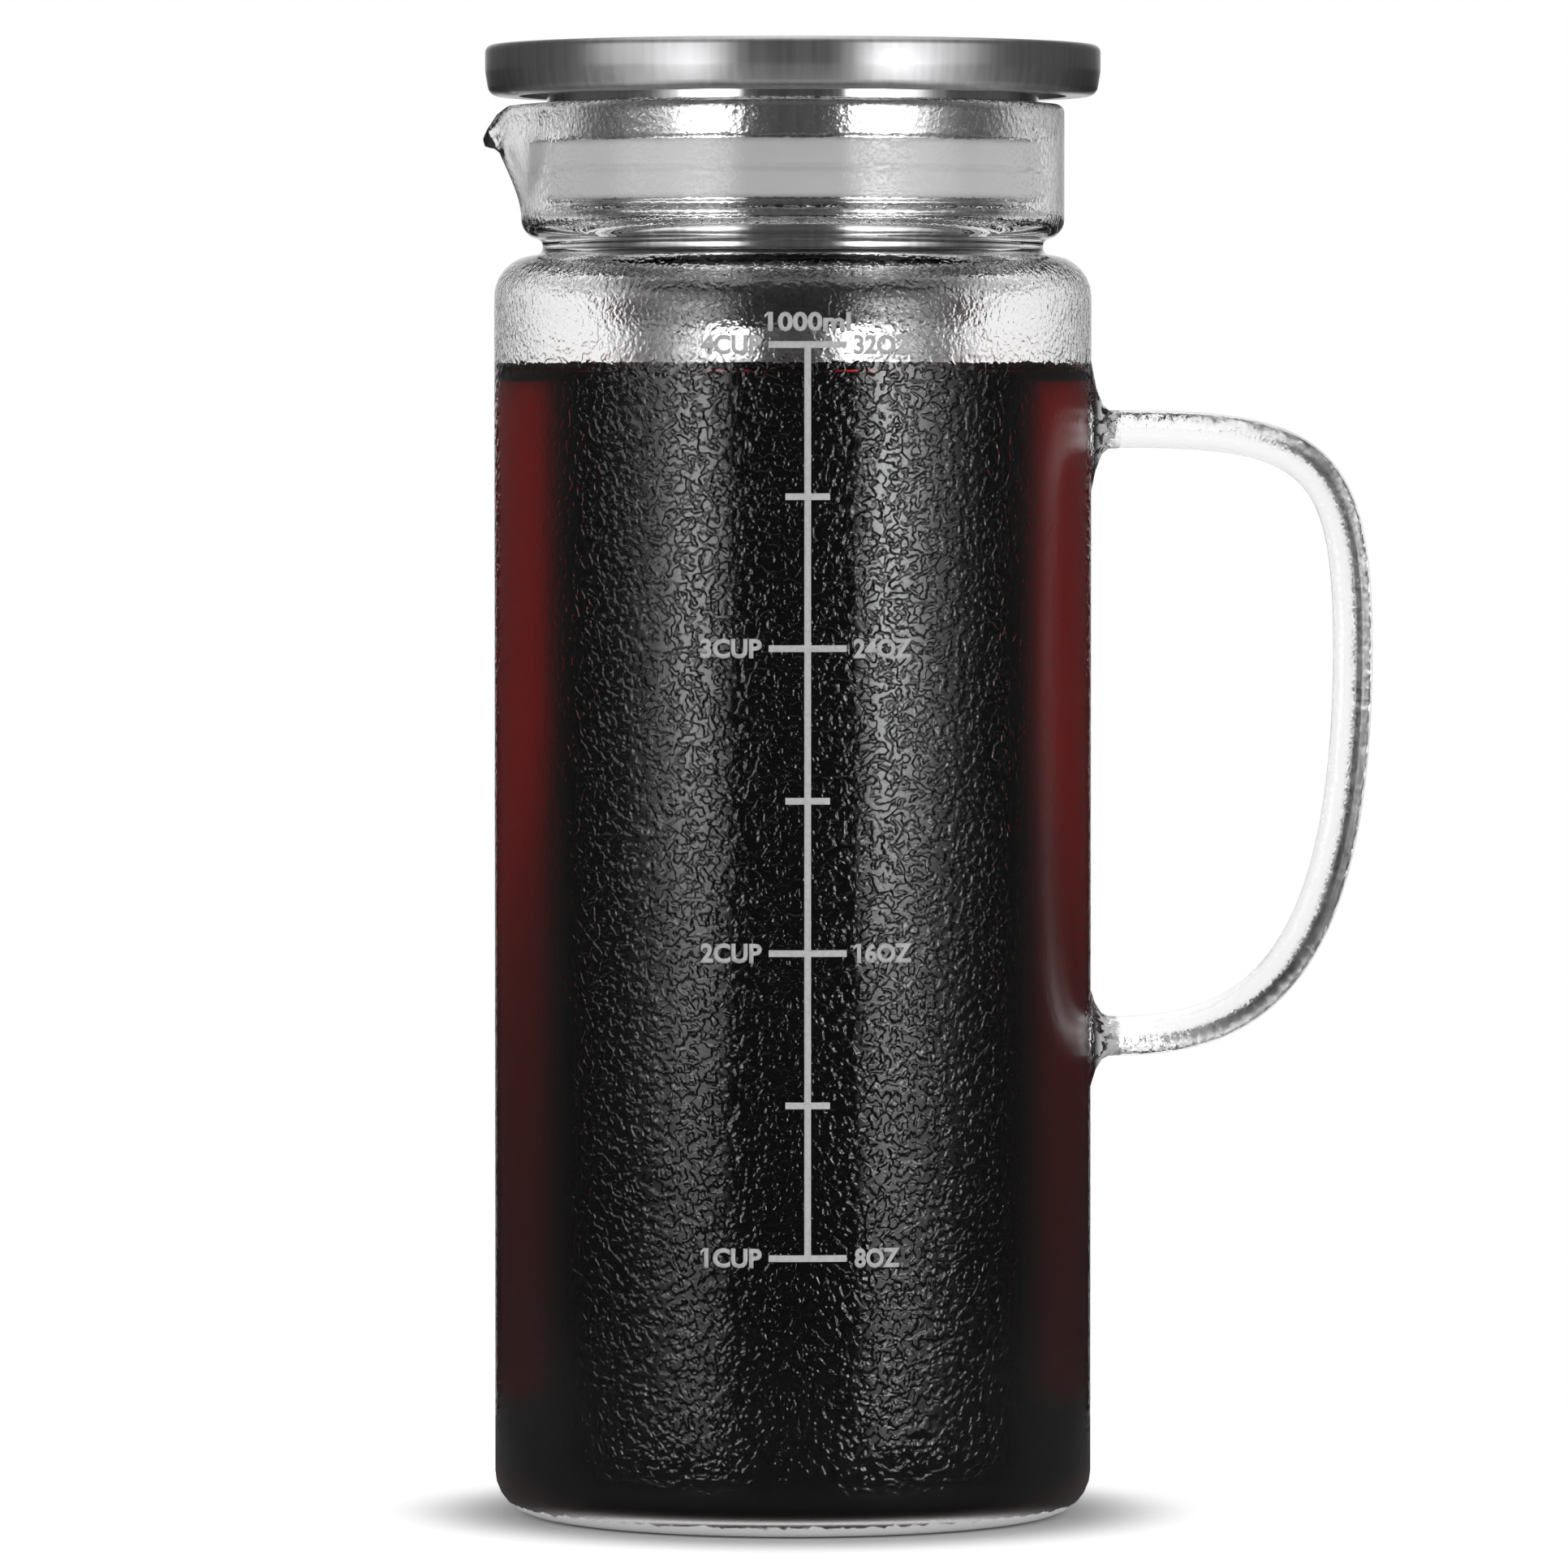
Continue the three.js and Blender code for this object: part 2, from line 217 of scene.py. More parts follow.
# A ray that has met a shiny surface on its way brings back what that surface mirrors.
mirrored_once = math_node(walls, "GREATER_THAN", rays.outputs["Glossy Depth"], 0.5)
# Behind three or more skins of glass lies the inside of the jug, open to the white walls.
deep = math_node(walls, "GREATER_THAN", rays.outputs["Transmission Depth"], 2.5)
mirrored_inside = mixed(walls, deep, mirrored_near, inside_deep)
passed = mixed(walls, mirrored_once, through_glass, mirrored_inside)
lit = mixed(walls, rays.outputs["Is Glossy Ray"], plain_light, mirrored)
seen_through = mixed(walls, rays.outputs["Is Transmission Ray"], lit, passed)
seen = mixed(walls, rays.outputs["Is Camera Ray"], seen_through, white)
air = add_node(walls, "Background", {"Color": seen, "Strength": 1.0})
add_node(walls, "OutputWorld", {"Surface": air.outputs[0]})
print("world nodes:", len(walls.nodes))

# %% A helper for lamps, and one that softens them
def add_lamp(name, place, aim_at, width, height, radiance):
    """A flat lamp that is turned to its aim; radiance is what a mirror would show of it."""
    bpy.ops.object.select_all(action="DESELECT")
    bpy.ops.object.light_add(type="AREA", location=place)
    lamp = bpy.context.object
    lamp.name = name
    lamp.data.shape = "RECTANGLE"
    lamp.data.size = width
    lamp.data.size_y = height
    lamp.data.energy = radiance * math.pi * width * height
    lamp.rotation_euler = (Vector(aim_at) - Vector(place)).to_track_quat("-Z", "Y").to_euler()
    lamp.visible_camera = False
    print(name, "power in W:", round(lamp.data.energy, 2))
    return lamp


def soften_lamp(lamp, across, up):
    """Gives the lamp's face a gradient across and up, as a cloth in front of it does."""
    lamp.data.use_nodes = True
    tree = lamp.data.node_tree
    tree.nodes.clear()
    face = add_node(tree, "NewGeometry").outputs["Parametric"]
    face_x, face_y, _ = parts_of(tree, face)
    glow = times(tree, ramp_node(tree, face_x, across), ramp_node(tree, face_y, up))
    shine = add_node(tree, "Emission", {"Strength": glow})
    add_node(tree, "OutputLight", {"Surface": shine.outputs[0]})

# %% Two soft boxes in front, two weaker ones above them, and a ceiling lamp
box_distance = 1.0
box_width = 1.2
box_foot = -160 * mm
card_top = 200 * mm
high_box_top = 550 * mm


def add_soft_box(name, side, bearing_angle, low, high, radiance, outwards, up):
    """A lamp beside the camera whose gradient is written from its inner edge outwards."""
    angle = math.radians(bearing_angle)
    middle = (low + high) / 2
    place = (side * box_distance * math.sin(angle), -box_distance * math.cos(angle), middle)
    box = add_lamp(name, place, (0, 0, middle), box_width, high - low, radiance)
    if side < 0:
        outwards = [(1 - stop, glow) for stop, glow in reversed(outwards)]
    soften_lamp(box, outwards, up)


fading_down = [(0.0, 0.05), (0.24, 0.16), (0.34, 0.21), (0.44, 0.33), (0.53, 0.45)]
fading_down += [(0.63, 0.67), (0.73, 0.93), (0.82, 1.0), (1.0, 0.82)]
left_glow = [(0.0, 0.0), (0.075, 0.45), (0.2, 0.94), (0.31, 1.0), (0.4, 0.53)]
left_glow += [(0.54, 0.13), (0.69, 0.02), (0.85, 0.0), (1.0, 0.0)]
right_glow = [(0.02, 0.0), (0.11, 0.5), (0.21, 1.0), (0.29, 0.92), (0.4, 0.58)]
right_glow += [(0.54, 0.18), (0.71, 0.03), (0.89, 0.0), (1.0, 0.0)]
left_cloth = [(0.02, 0.25), (0.13, 0.7), (0.23, 1.0), (0.7, 1.0), (0.84, 0.8), (1.0, 0.1)]
right_cloth = [(0.05, 0.0), (0.07, 0.6), (0.25, 1.0), (0.62, 1.0), (0.76, 0.7), (0.95, 0.1)]
even = [(0.0, 1.0), (1.0, 1.0)]
add_soft_box("soft_box_left", -1, 53.5, box_foot, card_top, 6.7, left_glow, fading_down)
add_soft_box("soft_box_right", 1, 53, box_foot, card_top, 10.6, right_glow, fading_down)
add_soft_box("high_box_left", -1, 52, card_top, high_box_top, 1.58, left_cloth, even)
add_soft_box("high_box_right", 1, 50, card_top, high_box_top, 1.33, right_cloth, even)
ceiling_place = (0, 0.1, 1.3)
ceiling_width = 1.4
add_lamp("ceiling_lamp", ceiling_place, (0, 0, 0), ceiling_width, ceiling_width, 0.9)

# %% [markdown]
# ## The floor
# The jug stands on a white table that runs into a white wall, and the picture shows no
# line between them. The table's own white is lit, so it keeps the jug's contact shadow.
# What the camera sees of it gets some light of its own, just enough to reach white, and
# so does what shows of it through the glass. Near the foot that own light fades out,
# which is painted shadow that deepens the contact shadow, and mirrors show the table as
# a dark grey, which is a painted reflection.

# %% Helpers for finishes
def new_finish(name):
    finish = bpy.data.materials.new(name)
    finish.use_nodes = True
    finish.node_tree.nodes.clear()
    return finish, finish.node_tree


def show(tree, surface):
    add_node(tree, "OutputMaterial", {"Surface": surface})


def matt(tree, colour):
    return add_node(tree, "BsdfDiffuse", {"Color": colour}).outputs[0]


def object_place(tree, scale=(1, 1, 1)):
    """The place on the piece in metres, scaled per axis."""
    place = add_node(tree, "TexCoord").outputs["Object"]
    return add_node(tree, "Mapping", {"Vector": place, "Scale": scale}).outputs[0]

# %% Floor
floor_size = 0.3
floor_gap = 0.1 * mm
foot_shadow = 40 * mm
foot_shadow_end = 62 * mm
bpy.ops.object.select_all(action="DESELECT")
bpy.ops.mesh.primitive_plane_add(size=floor_size, location=(0, 0, -floor_gap))
floor = bpy.context.object
floor.name = "studio_floor"
white_table, table = new_finish("white_table")
table_rays = add_node(table, "LightPath")
# Painted reflection: mirrors see the table as a dark grey, all other rays see a pale white.
not_mirrored = math_node(table, "SUBTRACT", 1.0, table_rays.outputs["Is Glossy Ray"])
table_skin = matt(table, mixed(table, not_mirrored, (0.14, 0.14, 0.14, 1), pale))
table_x, table_y, _ = parts_of(table, object_place(table))
# Painted shadow: the table's own light fades out towards the foot, so there only the lamps light
# it and their contact shadow shows deep.
from_jug = flat_length(table, table_x, table_y)
own_reach = map_range(table, from_jug, foot_shadow, foot_shadow_end, 0.0, 0.62)
own_seen = times(table, table_rays.outputs["Is Camera Ray"], own_reach)
in_glass = math_node(table, "GREATER_THAN", table_rays.outputs["Transmission Depth"], 0.5)
own_light = {"Color": white, "Strength": plus(table, own_seen, in_glass)}
own_light = add_node(table, "Emission", own_light).outputs[0]
show(table, add_node(table, "AddShader", {0: table_skin, 1: own_light}).outputs[0])
floor.data.materials.append(white_table)
floor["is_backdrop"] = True
print("floor:", floor_size, "m wide")

# %% [markdown]
# ## Turned pieces
# Nearly every piece here was spun: the glass on a blowing lathe, the steel on a spinning
# lathe. So each one starts as half of its section. A single vertex is extruded from
# corner to corner, the corners are rounded with a vertex bevel, and the line is spun
# round the upright axis. The corners are written as radius, height and rounding.

# %% Short names for the operators that come back all the time
def edit_mode():
    bpy.ops.object.mode_set(mode="EDIT")


def object_mode():
    bpy.ops.object.mode_set(mode="OBJECT")


def select_whole():
    bpy.ops.mesh.select_all(action="SELECT")


def extrude(move):
    bpy.ops.mesh.extrude_region_move(TRANSFORM_OT_translate={"value": move})


def shift(move):
    bpy.ops.transform.translate(value=move)


def resize(scale, centre=(0, 0, 0)):
    bpy.ops.transform.resize(value=scale, center_override=centre)


def rotate(angle, axis, centre=(0, 0, 0)):
    bpy.ops.transform.rotate(value=angle, orient_axis=axis, center_override=centre)

# %% Helpers that select and smooth
round_steps = 128
corner_steps = 6
near = 0.001 * mm
vertex_mode = (True, False, False)


def choose(piece, test):
    """Selects, in edit mode, the vertices whose place passes the test."""
    object_mode()
    bpy.context.tool_settings.mesh_select_mode = vertex_mode
    mesh = piece.data
    for parts in (mesh.edges, mesh.polygons):
        parts.foreach_set("select", [False] * len(parts))
    mesh.vertices.foreach_set("select", [test(v.co) for v in mesh.vertices])
    edit_mode()


def activate(piece):
    bpy.ops.object.select_all(action="DESELECT")
    piece.select_set(True)
    bpy.context.view_layer.objects.active = piece


def smooth(piece, degrees=40):
    activate(piece)
    bpy.ops.object.shade_smooth_by_angle(angle=math.radians(degrees))


def count(piece):
    return f"{piece.name}: {len(piece.data.vertices)} vertices, {len(piece.data.polygons)} faces"

# %% Helpers that draw a section and spin it
def start_plane(name, size=1):
    """Adds a plane at the origin and goes to edit mode with all of it selected."""
    bpy.ops.object.select_all(action="DESELECT")
    bpy.context.tool_settings.mesh_select_mode = vertex_mode
    bpy.ops.mesh.primitive_plane_add(size=size, location=(0, 0, 0))
    piece = bpy.context.object
    piece.name = name
    edit_mode()
    select_whole()
    return piece


def draw_section(name, corners):
    """Merges a small plane to one vertex, extrudes that from corner to corner, and rounds
    the corners that have a radius."""
    places = [Vector((corner[0], 0, corner[1])) for corner in corners]
    piece = start_plane(name, mm)
    bpy.ops.mesh.merge(type="CENTER")
    shift(places[0])
    for here, there in zip(places, places[1:]):
        bpy.ops.mesh.extrude_vertices_move(TRANSFORM_OT_translate={"value": there - here})
    for index, corner in enumerate(corners):
        if len(corner) < 3:
            continue
        place = places[index]
        turn = (place - places[index - 1]).angle(places[index + 1] - place)
        choose(piece, lambda co, place=place: (co - place).length < near)
        reach = corner[2] * math.tan(turn / 2)
        bpy.ops.mesh.bevel(affect="VERTICES", offset=reach, segments=corner_steps)
    return piece


def spun_piece(name, corners):
    """Spins a section round the Z axis, closes the seam and turns the faces outwards."""
    piece = draw_section(name, corners)
    edit_mode()
    select_whole()
    bpy.ops.mesh.spin(steps=round_steps, angle=math.tau, center=(0, 0, 0), axis=(0, 0, 1))
    select_whole()
    bpy.ops.mesh.remove_doubles(threshold=near)
    bpy.ops.mesh.normals_make_consistent(inside=False)
    object_mode()
    smooth(piece)
    return piece


def dress(piece, finish, body, replaced):
    """Gives a piece its finish, hangs it on the body it rides on, and hides the node it stands
    for.
    """
    piece.data.materials.append(finish)
    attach(piece, body)
    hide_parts(replaced)
    print(count(piece))

# %% [markdown]
# ## The glass jug
# The jug is one blown wall, 2.6 mm thick, with a heavier floor. Its section runs up the
# outside, over the round rim and down the inside, so the wall has a real thickness and
# bends light as glass does. Extra rows are cut where the lip is pulled and where the
# handle is welded on, because smooth bends need vertices.

# %% The jug's section
carafe_low, carafe_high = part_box("glass_carafe")
body_radius = carafe_high.y
rim_height = carafe_high.z
wall = 2.6 * mm
floor_thickness = 3 * mm
foot_round = 6.2 * mm
shoulder_round = 6 * mm
shoulder_height = 184.6 * mm
waist_low = 185.6 * mm
waist_high = 187.6 * mm
waist_radius = 36.9 * mm
waist_round = 0.9 * mm
neck_low = 188.2 * mm
neck_radius = 40 * mm
neck_round = 2.9 * mm
ledge_height = 190.5 * mm
ledge_round = 0.8 * mm
rim_round = wall / 2.01
bore_radius = body_radius - wall
neck_bore = neck_radius - wall
standing_radius = 34 * mm

glass = spun_piece(
    "glass_jug",
    [
        (0, 0),
        (standing_radius, 0),
        (body_radius, 0, foot_round),
        (body_radius, shoulder_height, shoulder_round),
        (waist_radius, waist_low, waist_round),
        (waist_radius, waist_high, waist_round),
        (neck_radius, neck_low, neck_round),
        (neck_radius, rim_height, rim_round),
        (neck_bore, rim_height, rim_round),
        (neck_bore, ledge_height, ledge_round),
        (waist_radius - wall, ledge_height, ledge_round),
        (waist_radius - wall, waist_low - wall, 1.2 * mm),
        (bore_radius, shoulder_height - wall, shoulder_round - wall),
        (bore_radius, floor_thickness, foot_round - wall),
        (0, floor_thickness),
    ],
)
print(count(glass))

# %% Rows of vertices for the lip and the welds
def cut_rows(piece, low, high, rows):
    """Cuts the piece level, at evenly spaced heights."""
    edit_mode()
    for row in range(rows):
        height = low + (high - low) * row / (rows - 1)
        select_whole()
        bpy.ops.mesh.bisect(plane_co=(0, 0, height), plane_no=(0, 0, 1))
    object_mode()


brew_level = 168.5 * mm
meniscus = 1.1 * mm
brew_edge = brew_level + meniscus
neck_rows = (191.6 * mm, 206.1 * mm, 12)
body_rows = (12 * mm, 165 * mm, 56)
dry_rows = (brew_edge, 178 * mm, 4)
for rows in (neck_rows, body_rows, dry_rows):
    cut_rows(glass, *rows)
print(count(glass))

# %% The pouring lip, pulled out of the rim with proportional editing
def pull(piece, low, move, size):
    """Pulls the rim's middle vertices at -X, and their neighbours by less."""
    choose(piece, lambda co: co.x < 0 and abs(co.y) < mm and co.z > low)
    bpy.ops.transform.translate(
        value=move,
        use_proportional_edit=True,
        proportional_edit_falloff="SMOOTH",
        proportional_size=size,
    )
    object_mode()


lip_low = rim_height - 1.5 * mm
tip_low = lip_low - mm
lip_pull, lip_spread = (-4.4 * mm, 0, -0.4 * mm), 15.4 * mm
tip_pull, tip_spread = (-1.2 * mm, 0, -3.4 * mm), 5.6 * mm
pull(glass, lip_low, lip_pull, lip_spread)
pull(glass, tip_low, tip_pull, tip_spread)
print("lip reaches", round(min(v.co.x for v in glass.data.vertices) / mm, 2), "mm")

# %% [markdown]
# ## The handle
# The handle is a rod of glass, bent while it was soft and welded to the jug at both
# ends. A flattened circle is extruded along the bend in small steps, each step moved and
# turned a little. At both ends the rod flares, as soft glass does when it is pressed on,
# and a boolean joins it to the jug so that light passes through without a seam.

# %% The handle's bend, as two curves that meet at the widest point of the grip
handle_low, handle_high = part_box("glass_handle")
rod_thickness = 5.6 * mm
rod_width = handle_high.y - handle_low.y
grip_x = handle_high.x - rod_thickness / 2
grip_z = 127.5 * mm
rod_top = 159.8 * mm
rod_bottom = 70.3 * mm
root_x = body_radius - 1.2 * mm
bend_x = handle_low.x + 1.5 * mm
reach_out = grip_x - bend_x
# How far the curves' control points reach, as shares of the way out and of the fall.
top_out, top_rise, low_fall, low_out = 0.84, 0.88, 0.78, 0.63
straight_steps, top_steps, low_steps = 6, 30, 36


def bezier(points, share):
    """The place on a curve with four control points."""
    rest = 1 - share
    weights = (rest**3, 3 * rest * rest * share, 3 * rest * share * share, share**3)
    return sum((Vector(p) * w for p, w in zip(points, weights)), Vector((0, 0, 0)))


top_curve = [
    (bend_x, 0, rod_top),
    (bend_x + top_out * reach_out, 0, rod_top),
    (grip_x, 0, grip_z + top_rise * (rod_top - grip_z)),
    (grip_x, 0, grip_z),
]
bottom_curve = [
    (grip_x, 0, grip_z),
    (grip_x, 0, grip_z - low_fall * (grip_z - rod_bottom)),
    (bend_x + low_out * reach_out, 0, rod_bottom),
    (bend_x, 0, rod_bottom),
]
straight_step = (bend_x - root_x) / straight_steps
straight = [root_x + straight_step * step for step in range(straight_steps)]
path = [Vector((x, 0, rod_top)) for x in straight]
path += [bezier(top_curve, step / top_steps) for step in range(top_steps)]
path += [bezier(bottom_curve, step / low_steps) for step in range(low_steps + 1)]
path += [Vector((x, 0, rod_bottom)) for x in reversed(straight)]
print("handle path points:", len(path))

# %% The rod, extruded step by step along the bend
rod_sides = 32
oval_width = 8 * mm
oval_thickness = 4.6 * mm
oval_lean = math.radians(26)
oval_fullness = 2.3
flare_start = 42.9 * mm
flare_depth = handle_low.x - flare_start
flare_curve = 2.6
side_flare, top_flare, low_flare = 5 * mm, 15 * mm, 9 * mm


def flare(x, spread):
    """How much wider the rod is near the wall."""
    share = min(1, max(0, (x - flare_start) / flare_depth))
    return spread * (1 - share) ** flare_curve


def ring_size(place):
    """Half the width and half the thickness of the rod at a place on the path."""
    sideways = flare(place.x, side_flare)
    upright = flare(place.x, top_flare if place.z > grip_z else low_flare)
    return rod_width / 2 + sideways, rod_thickness / 2 + upright


def at_fold_angle(place, angle):
    """True for the ring's vertices that stand at this angle, counted from the nearest axis."""
    across, up = sorted((abs(place.y), abs(place.z)))
    return abs(math.atan2(across, up) - angle) < 0.01


bpy.ops.object.select_all(action="DESELECT")
bpy.ops.mesh.primitive_circle_add(
    vertices=rod_sides, radius=mm, fill_type="NGON", location=(0, 0, 0)
)
rod = bpy.context.object
rod.name = "handle_rod"
edit_mode()
select_whole()
rotate(math.pi / 2, "Y")
for step in range(1, rod_sides // 8 + 1):
    # The circle is filled out towards its diagonals, one set of eight vertices at a time.
    angle = math.tau * step / rod_sides
    filled = math.cos(angle) ** oval_fullness + math.sin(angle) ** oval_fullness
    growth = filled ** (-1 / oval_fullness)
    choose(rod, lambda co, angle=angle: at_fold_angle(co, angle))
    resize((1, growth, growth))
select_whole()
oval = (1, oval_width / 2 / mm, oval_thickness / 2 / mm)
resize(oval)
rotate(oval_lean, "X")
width, thickness = ring_size(path[0])
start_growth = (1, width / (rod_width / 2), thickness / (rod_thickness / 2))
resize(start_growth)
shift(path[0])
heading = 0.0
for index in range(1, len(path)):
    here, there = path[index - 1], path[index]
    after = path[min(index + 1, len(path) - 1)]
    extrude(there - here)
    new_width, new_thickness = ring_size(there)
    growth = (1, new_width / width, new_thickness / thickness)
    resize(growth, there)
    width, thickness = new_width, new_thickness
    along = (after - here).normalized()
    new_heading = math.atan2(-along.z, along.x) if index < len(path) - 1 else math.pi
    rotate(heading - new_heading, "Y", there)
    heading = new_heading
select_whole()
bpy.ops.mesh.normals_make_consistent(inside=False)
object_mode()
print(count(rod))

# %% The rod is joined to the jug
def apply_modifier(piece, kind, **settings):
    """Adds a modifier, sets it and applies it at once."""
    activate(piece)
    modifier = piece.modifiers.new(kind.lower(), kind)
    for key, value in settings.items():
        setattr(modifier, key, value)
    bpy.ops.object.modifier_apply(modifier=modifier.name)


apply_modifier(glass, "BOOLEAN", operation="UNION", object=rod, solver="EXACT")
bpy.data.objects.remove(rod)
edit_mode()
select_whole()
bpy.ops.mesh.remove_doubles(threshold=near)
object_mode()
smooth(glass, 50)
print(count(glass))

# %% [markdown]
# ## The finish of the glass
# Cold coffee makes the air's moisture settle on the outside of the jug. The dew is a
# skin of small flat drops that have run together, so it bends light like hammered
# glass. A noise that is pushed through a steep ramp gives such flat islands with soft
# channels between them, and a bump turns them into relief. The waist has hardly any.
# Above the brew the drops are finer, the sides of the neck and the outer half of the
# handle are misted over, and the foot's edge is painted white, as painted light for what
# the thick base lets through.

# %% Helpers for relief and glass
def noise(tree, scale, detail=2.0, place=None):
    """A soft random pattern; unless it gets another place, it lies still on the piece."""
    if place is None:
        place = object_place(tree)
    sockets = {"Vector": place, "Scale": scale, "Detail": detail}
    return add_node(tree, "TexNoise", sockets).outputs["Fac"]


def bump(tree, height, distance, strength=1.0):
    sockets = {"Height": height, "Strength": strength, "Distance": distance}
    return add_node(tree, "Bump", sockets).outputs[0]


def shiny(tree, sockets):
    return add_node(tree, "BsdfPrincipled", sockets).outputs[0]


def glass_shader(tree, normal=None, roughness=0.0):
    sockets = {"Base Color": white, "Roughness": roughness, "IOR": glass_index}
    sockets["Transmission Weight"] = 1.0
    if normal is not None:
        sockets["Normal"] = normal
    return shiny(tree, sockets)


def blended(tree, share, first, second):
    return add_node(tree, "MixShader", {0: share, 1: first, 2: second}).outputs[0]


def open_skin(tree):
    return add_node(tree, "BsdfTransparent", {"Color": white}).outputs[0]

# %% Where the dew lies
glass_index = 1.5
grip_start = 45.5 * mm
dewy_glass, dew = new_finish("dewy_glass")
dew_side, dew_front, dew_height = parts_of(dew, object_place(dew))
to_front = math_node(dew, "ABSOLUTE", dew_front)
above_waist = map_range(dew, dew_height, 188.5 * mm, 192.5 * mm)
below_waist = map_range(dew, dew_height, 186.5 * mm, 182.5 * mm)
off_waist = math_node(dew, "MAXIMUM", above_waist, below_waist)
off_handle = map_range(dew, dew_side, grip_start, 49 * mm, 1.0, 0.4)
wet_front = map_range(dew, to_front, 26 * mm, 34 * mm, 0.1, 1.0)
wet_edge = map_range(dew, to_front, 12 * mm, 7 * mm, 0.0, 0.8)
off_foot = map_range(dew, dew_height, 3.5 * mm, 12 * mm)
wet_body = times(dew, math_node(dew, "MAXIMUM", wet_front, wet_edge), off_foot)
wet_top = map_range(dew, dew_height, 166 * mm, 171 * mm)
wet_area = math_node(dew, "MAXIMUM", wet_body, wet_top)
# The sleeve's zone and the folds of the neck stay calmer.
calm_low = map_range(dew, dew_height, 190 * mm, 193 * mm)
calm_high = map_range(dew, dew_height, 203.5 * mm, 201.5 * mm)
liveliness = math_node(dew, "MULTIPLY_ADD", times(dew, calm_low, calm_high), -0.7, 1.0)
wet_share = times(dew, times(dew, times(dew, off_waist, off_handle), wet_area), liveliness)
# Where there are hardly any drops, a fine mist lies on the body, and so it does on the
# lip and on the handle's side of the neck, which softens their outline.
body_mist = map_range(dew, wet_area, 0.1, 1.0, 0.24, 0.0)
body_mist = times(dew, body_mist, map_range(dew, dew_side, grip_start, 47 * mm, 1.0, 0.0))
neck_mist = map_range(dew, to_front, 22 * mm, 10 * mm, 0.0, 0.18)
mist = math_node(dew, "MAXIMUM", body_mist, times(dew, neck_mist, above_waist))

# %% The drops, and the folds at the welds
dew_place = object_place(dew)
wander = add_node(dew, "TexNoise", {"Vector": dew_place, "Scale": 700.0, "Detail": 0.0})
sway = (0.6 * mm, 0.6 * mm, 0.6 * mm)
swayed = {0: wander.outputs["Color"], 1: sway, 2: dew_place}
dew_place = add_node(dew, "VectorMath", swayed, operation="MULTIPLY_ADD").outputs[0]
flat_drops = map_range(dew, noise(dew, 850.0, 1.0, dew_place), 0.38, 0.62)
# Above the brew the drops are finer and have not run together.
fine_drops = times(dew, noise(dew, 1300.0, 1.0), 1.75)
fine_share = map_range(dew, dew_height, 169.5 * mm, 172.5 * mm)
drops = times(dew, mixed(dew, fine_share, flat_drops, fine_drops), wet_share)
# Where the handle was pressed on, the glass has set in small folds.
folds = noise(dew, 700.0)
weld_start = map_range(dew, dew_side, 44.3 * mm, grip_start)
weld_end = map_range(dew, dew_side, 48.5 * mm, 47 * mm)
weld_zone = times(dew, weld_start, weld_end)
fold_height = times(dew, times(dew, folds, weld_zone), 3.9)
relief = bump(dew, plus(dew, drops, fold_height), 0.1 * mm)
# Painted highlight: a matt near-white is mixed into the glass on the crests of the folds.
fold_glint_share = times(dew, times(dew, map_range(dew, folds, 0.42, 0.5), weld_zone), 0.75)
fold_glint = add_node(
    dew, "BsdfDiffuse", {"Color": (0.85, 0.86, 0.87, 1), "Normal": relief}
).outputs[0]
glass_with_glints = blended(dew, fold_glint_share, glass_shader(dew, relief, mist), fold_glint)
# Painted light: the foot's lowest edge is a matt white with a ragged upper line, which stands for
# the light that the thick base lets through from the table.
ragged = math_node(dew, "MULTIPLY_ADD", noise(dew, 500.0, 3.0), 1.6 * mm, dew_height)
foot_light_share = map_range(dew, ragged, 2.7 * mm, 2.4 * mm)
show(dew, blended(dew, foot_light_share, glass_with_glints, matt(dew, (0.95, 0.95, 0.96, 1))))
print("dew nodes:", len(dew.nodes))

# %% Clear, wetted, misty and standing glass
clear_glass, clear = new_finish("clear_glass")
ripples = noise(clear, 60.0, place=object_place(clear, (1, 1, 0.3)))
show(clear, glass_shader(clear, bump(clear, ripples, 0.2 * mm, 0.2)))

# Where coffee touches the glass there is no air, so this skin neither bends nor mirrors.
wetted_glass, wetted = new_finish("wetted_glass")
show(wetted, open_skin(wetted))

misty_glass, misty = new_finish("misty_glass")
mist_side = parts_of(misty, object_place(misty))[0]
mist_share = map_range(misty, mist_side, handle_low.x + 2 * mm, handle_low.x + 19 * mm)
patches = map_range(misty, noise(misty, 120.0), 0.3, 0.7, 0.14, 0.22)
grains = bump(misty, noise(misty, 1500.0), 0.04 * mm)
show(misty, glass_shader(misty, grains, times(misty, patches, mist_share)))

# The flat underside lies on the table, so from within the glass the table shows through it.
standing_glass, standing = new_finish("standing_glass")
scuffs = map_range(standing, noise(standing, 300.0, 4.0), 0.45, 0.7, 0.0, 0.2)
scuffed = glass_shader(standing, roughness=scuffs)
from_inside = add_node(standing, "NewGeometry").outputs["Backfacing"]
show(standing, blended(standing, from_inside, scuffed, open_skin(standing)))
print("glass finishes ready")

# %% Which faces of the jug get which finish
def faces_inwards(face):
    """True for a face of the jug's inside."""
    middle = face.center
    out = Vector((middle.x, middle.y, 0))
    if out.length > body_radius + 2 * mm:
        return False
    inside_floor = face.normal.z > 0.5 and middle.z < 2 * foot_round and out.length < bore_radius
    under_shoulder = face.normal.z < -0.3 and waist_low - 9 * mm < middle.z < waist_low
    ledge = face.normal.z > 0.5 and abs(middle.z - ledge_height) < mm
    turned_in = out.length > mm and face.normal.dot(out.normalized()) < -0.2
    return inside_floor or under_shoulder or ledge or turned_in


def touches_brew(face):
    return faces_inwards(face) and face.center.z < brew_edge


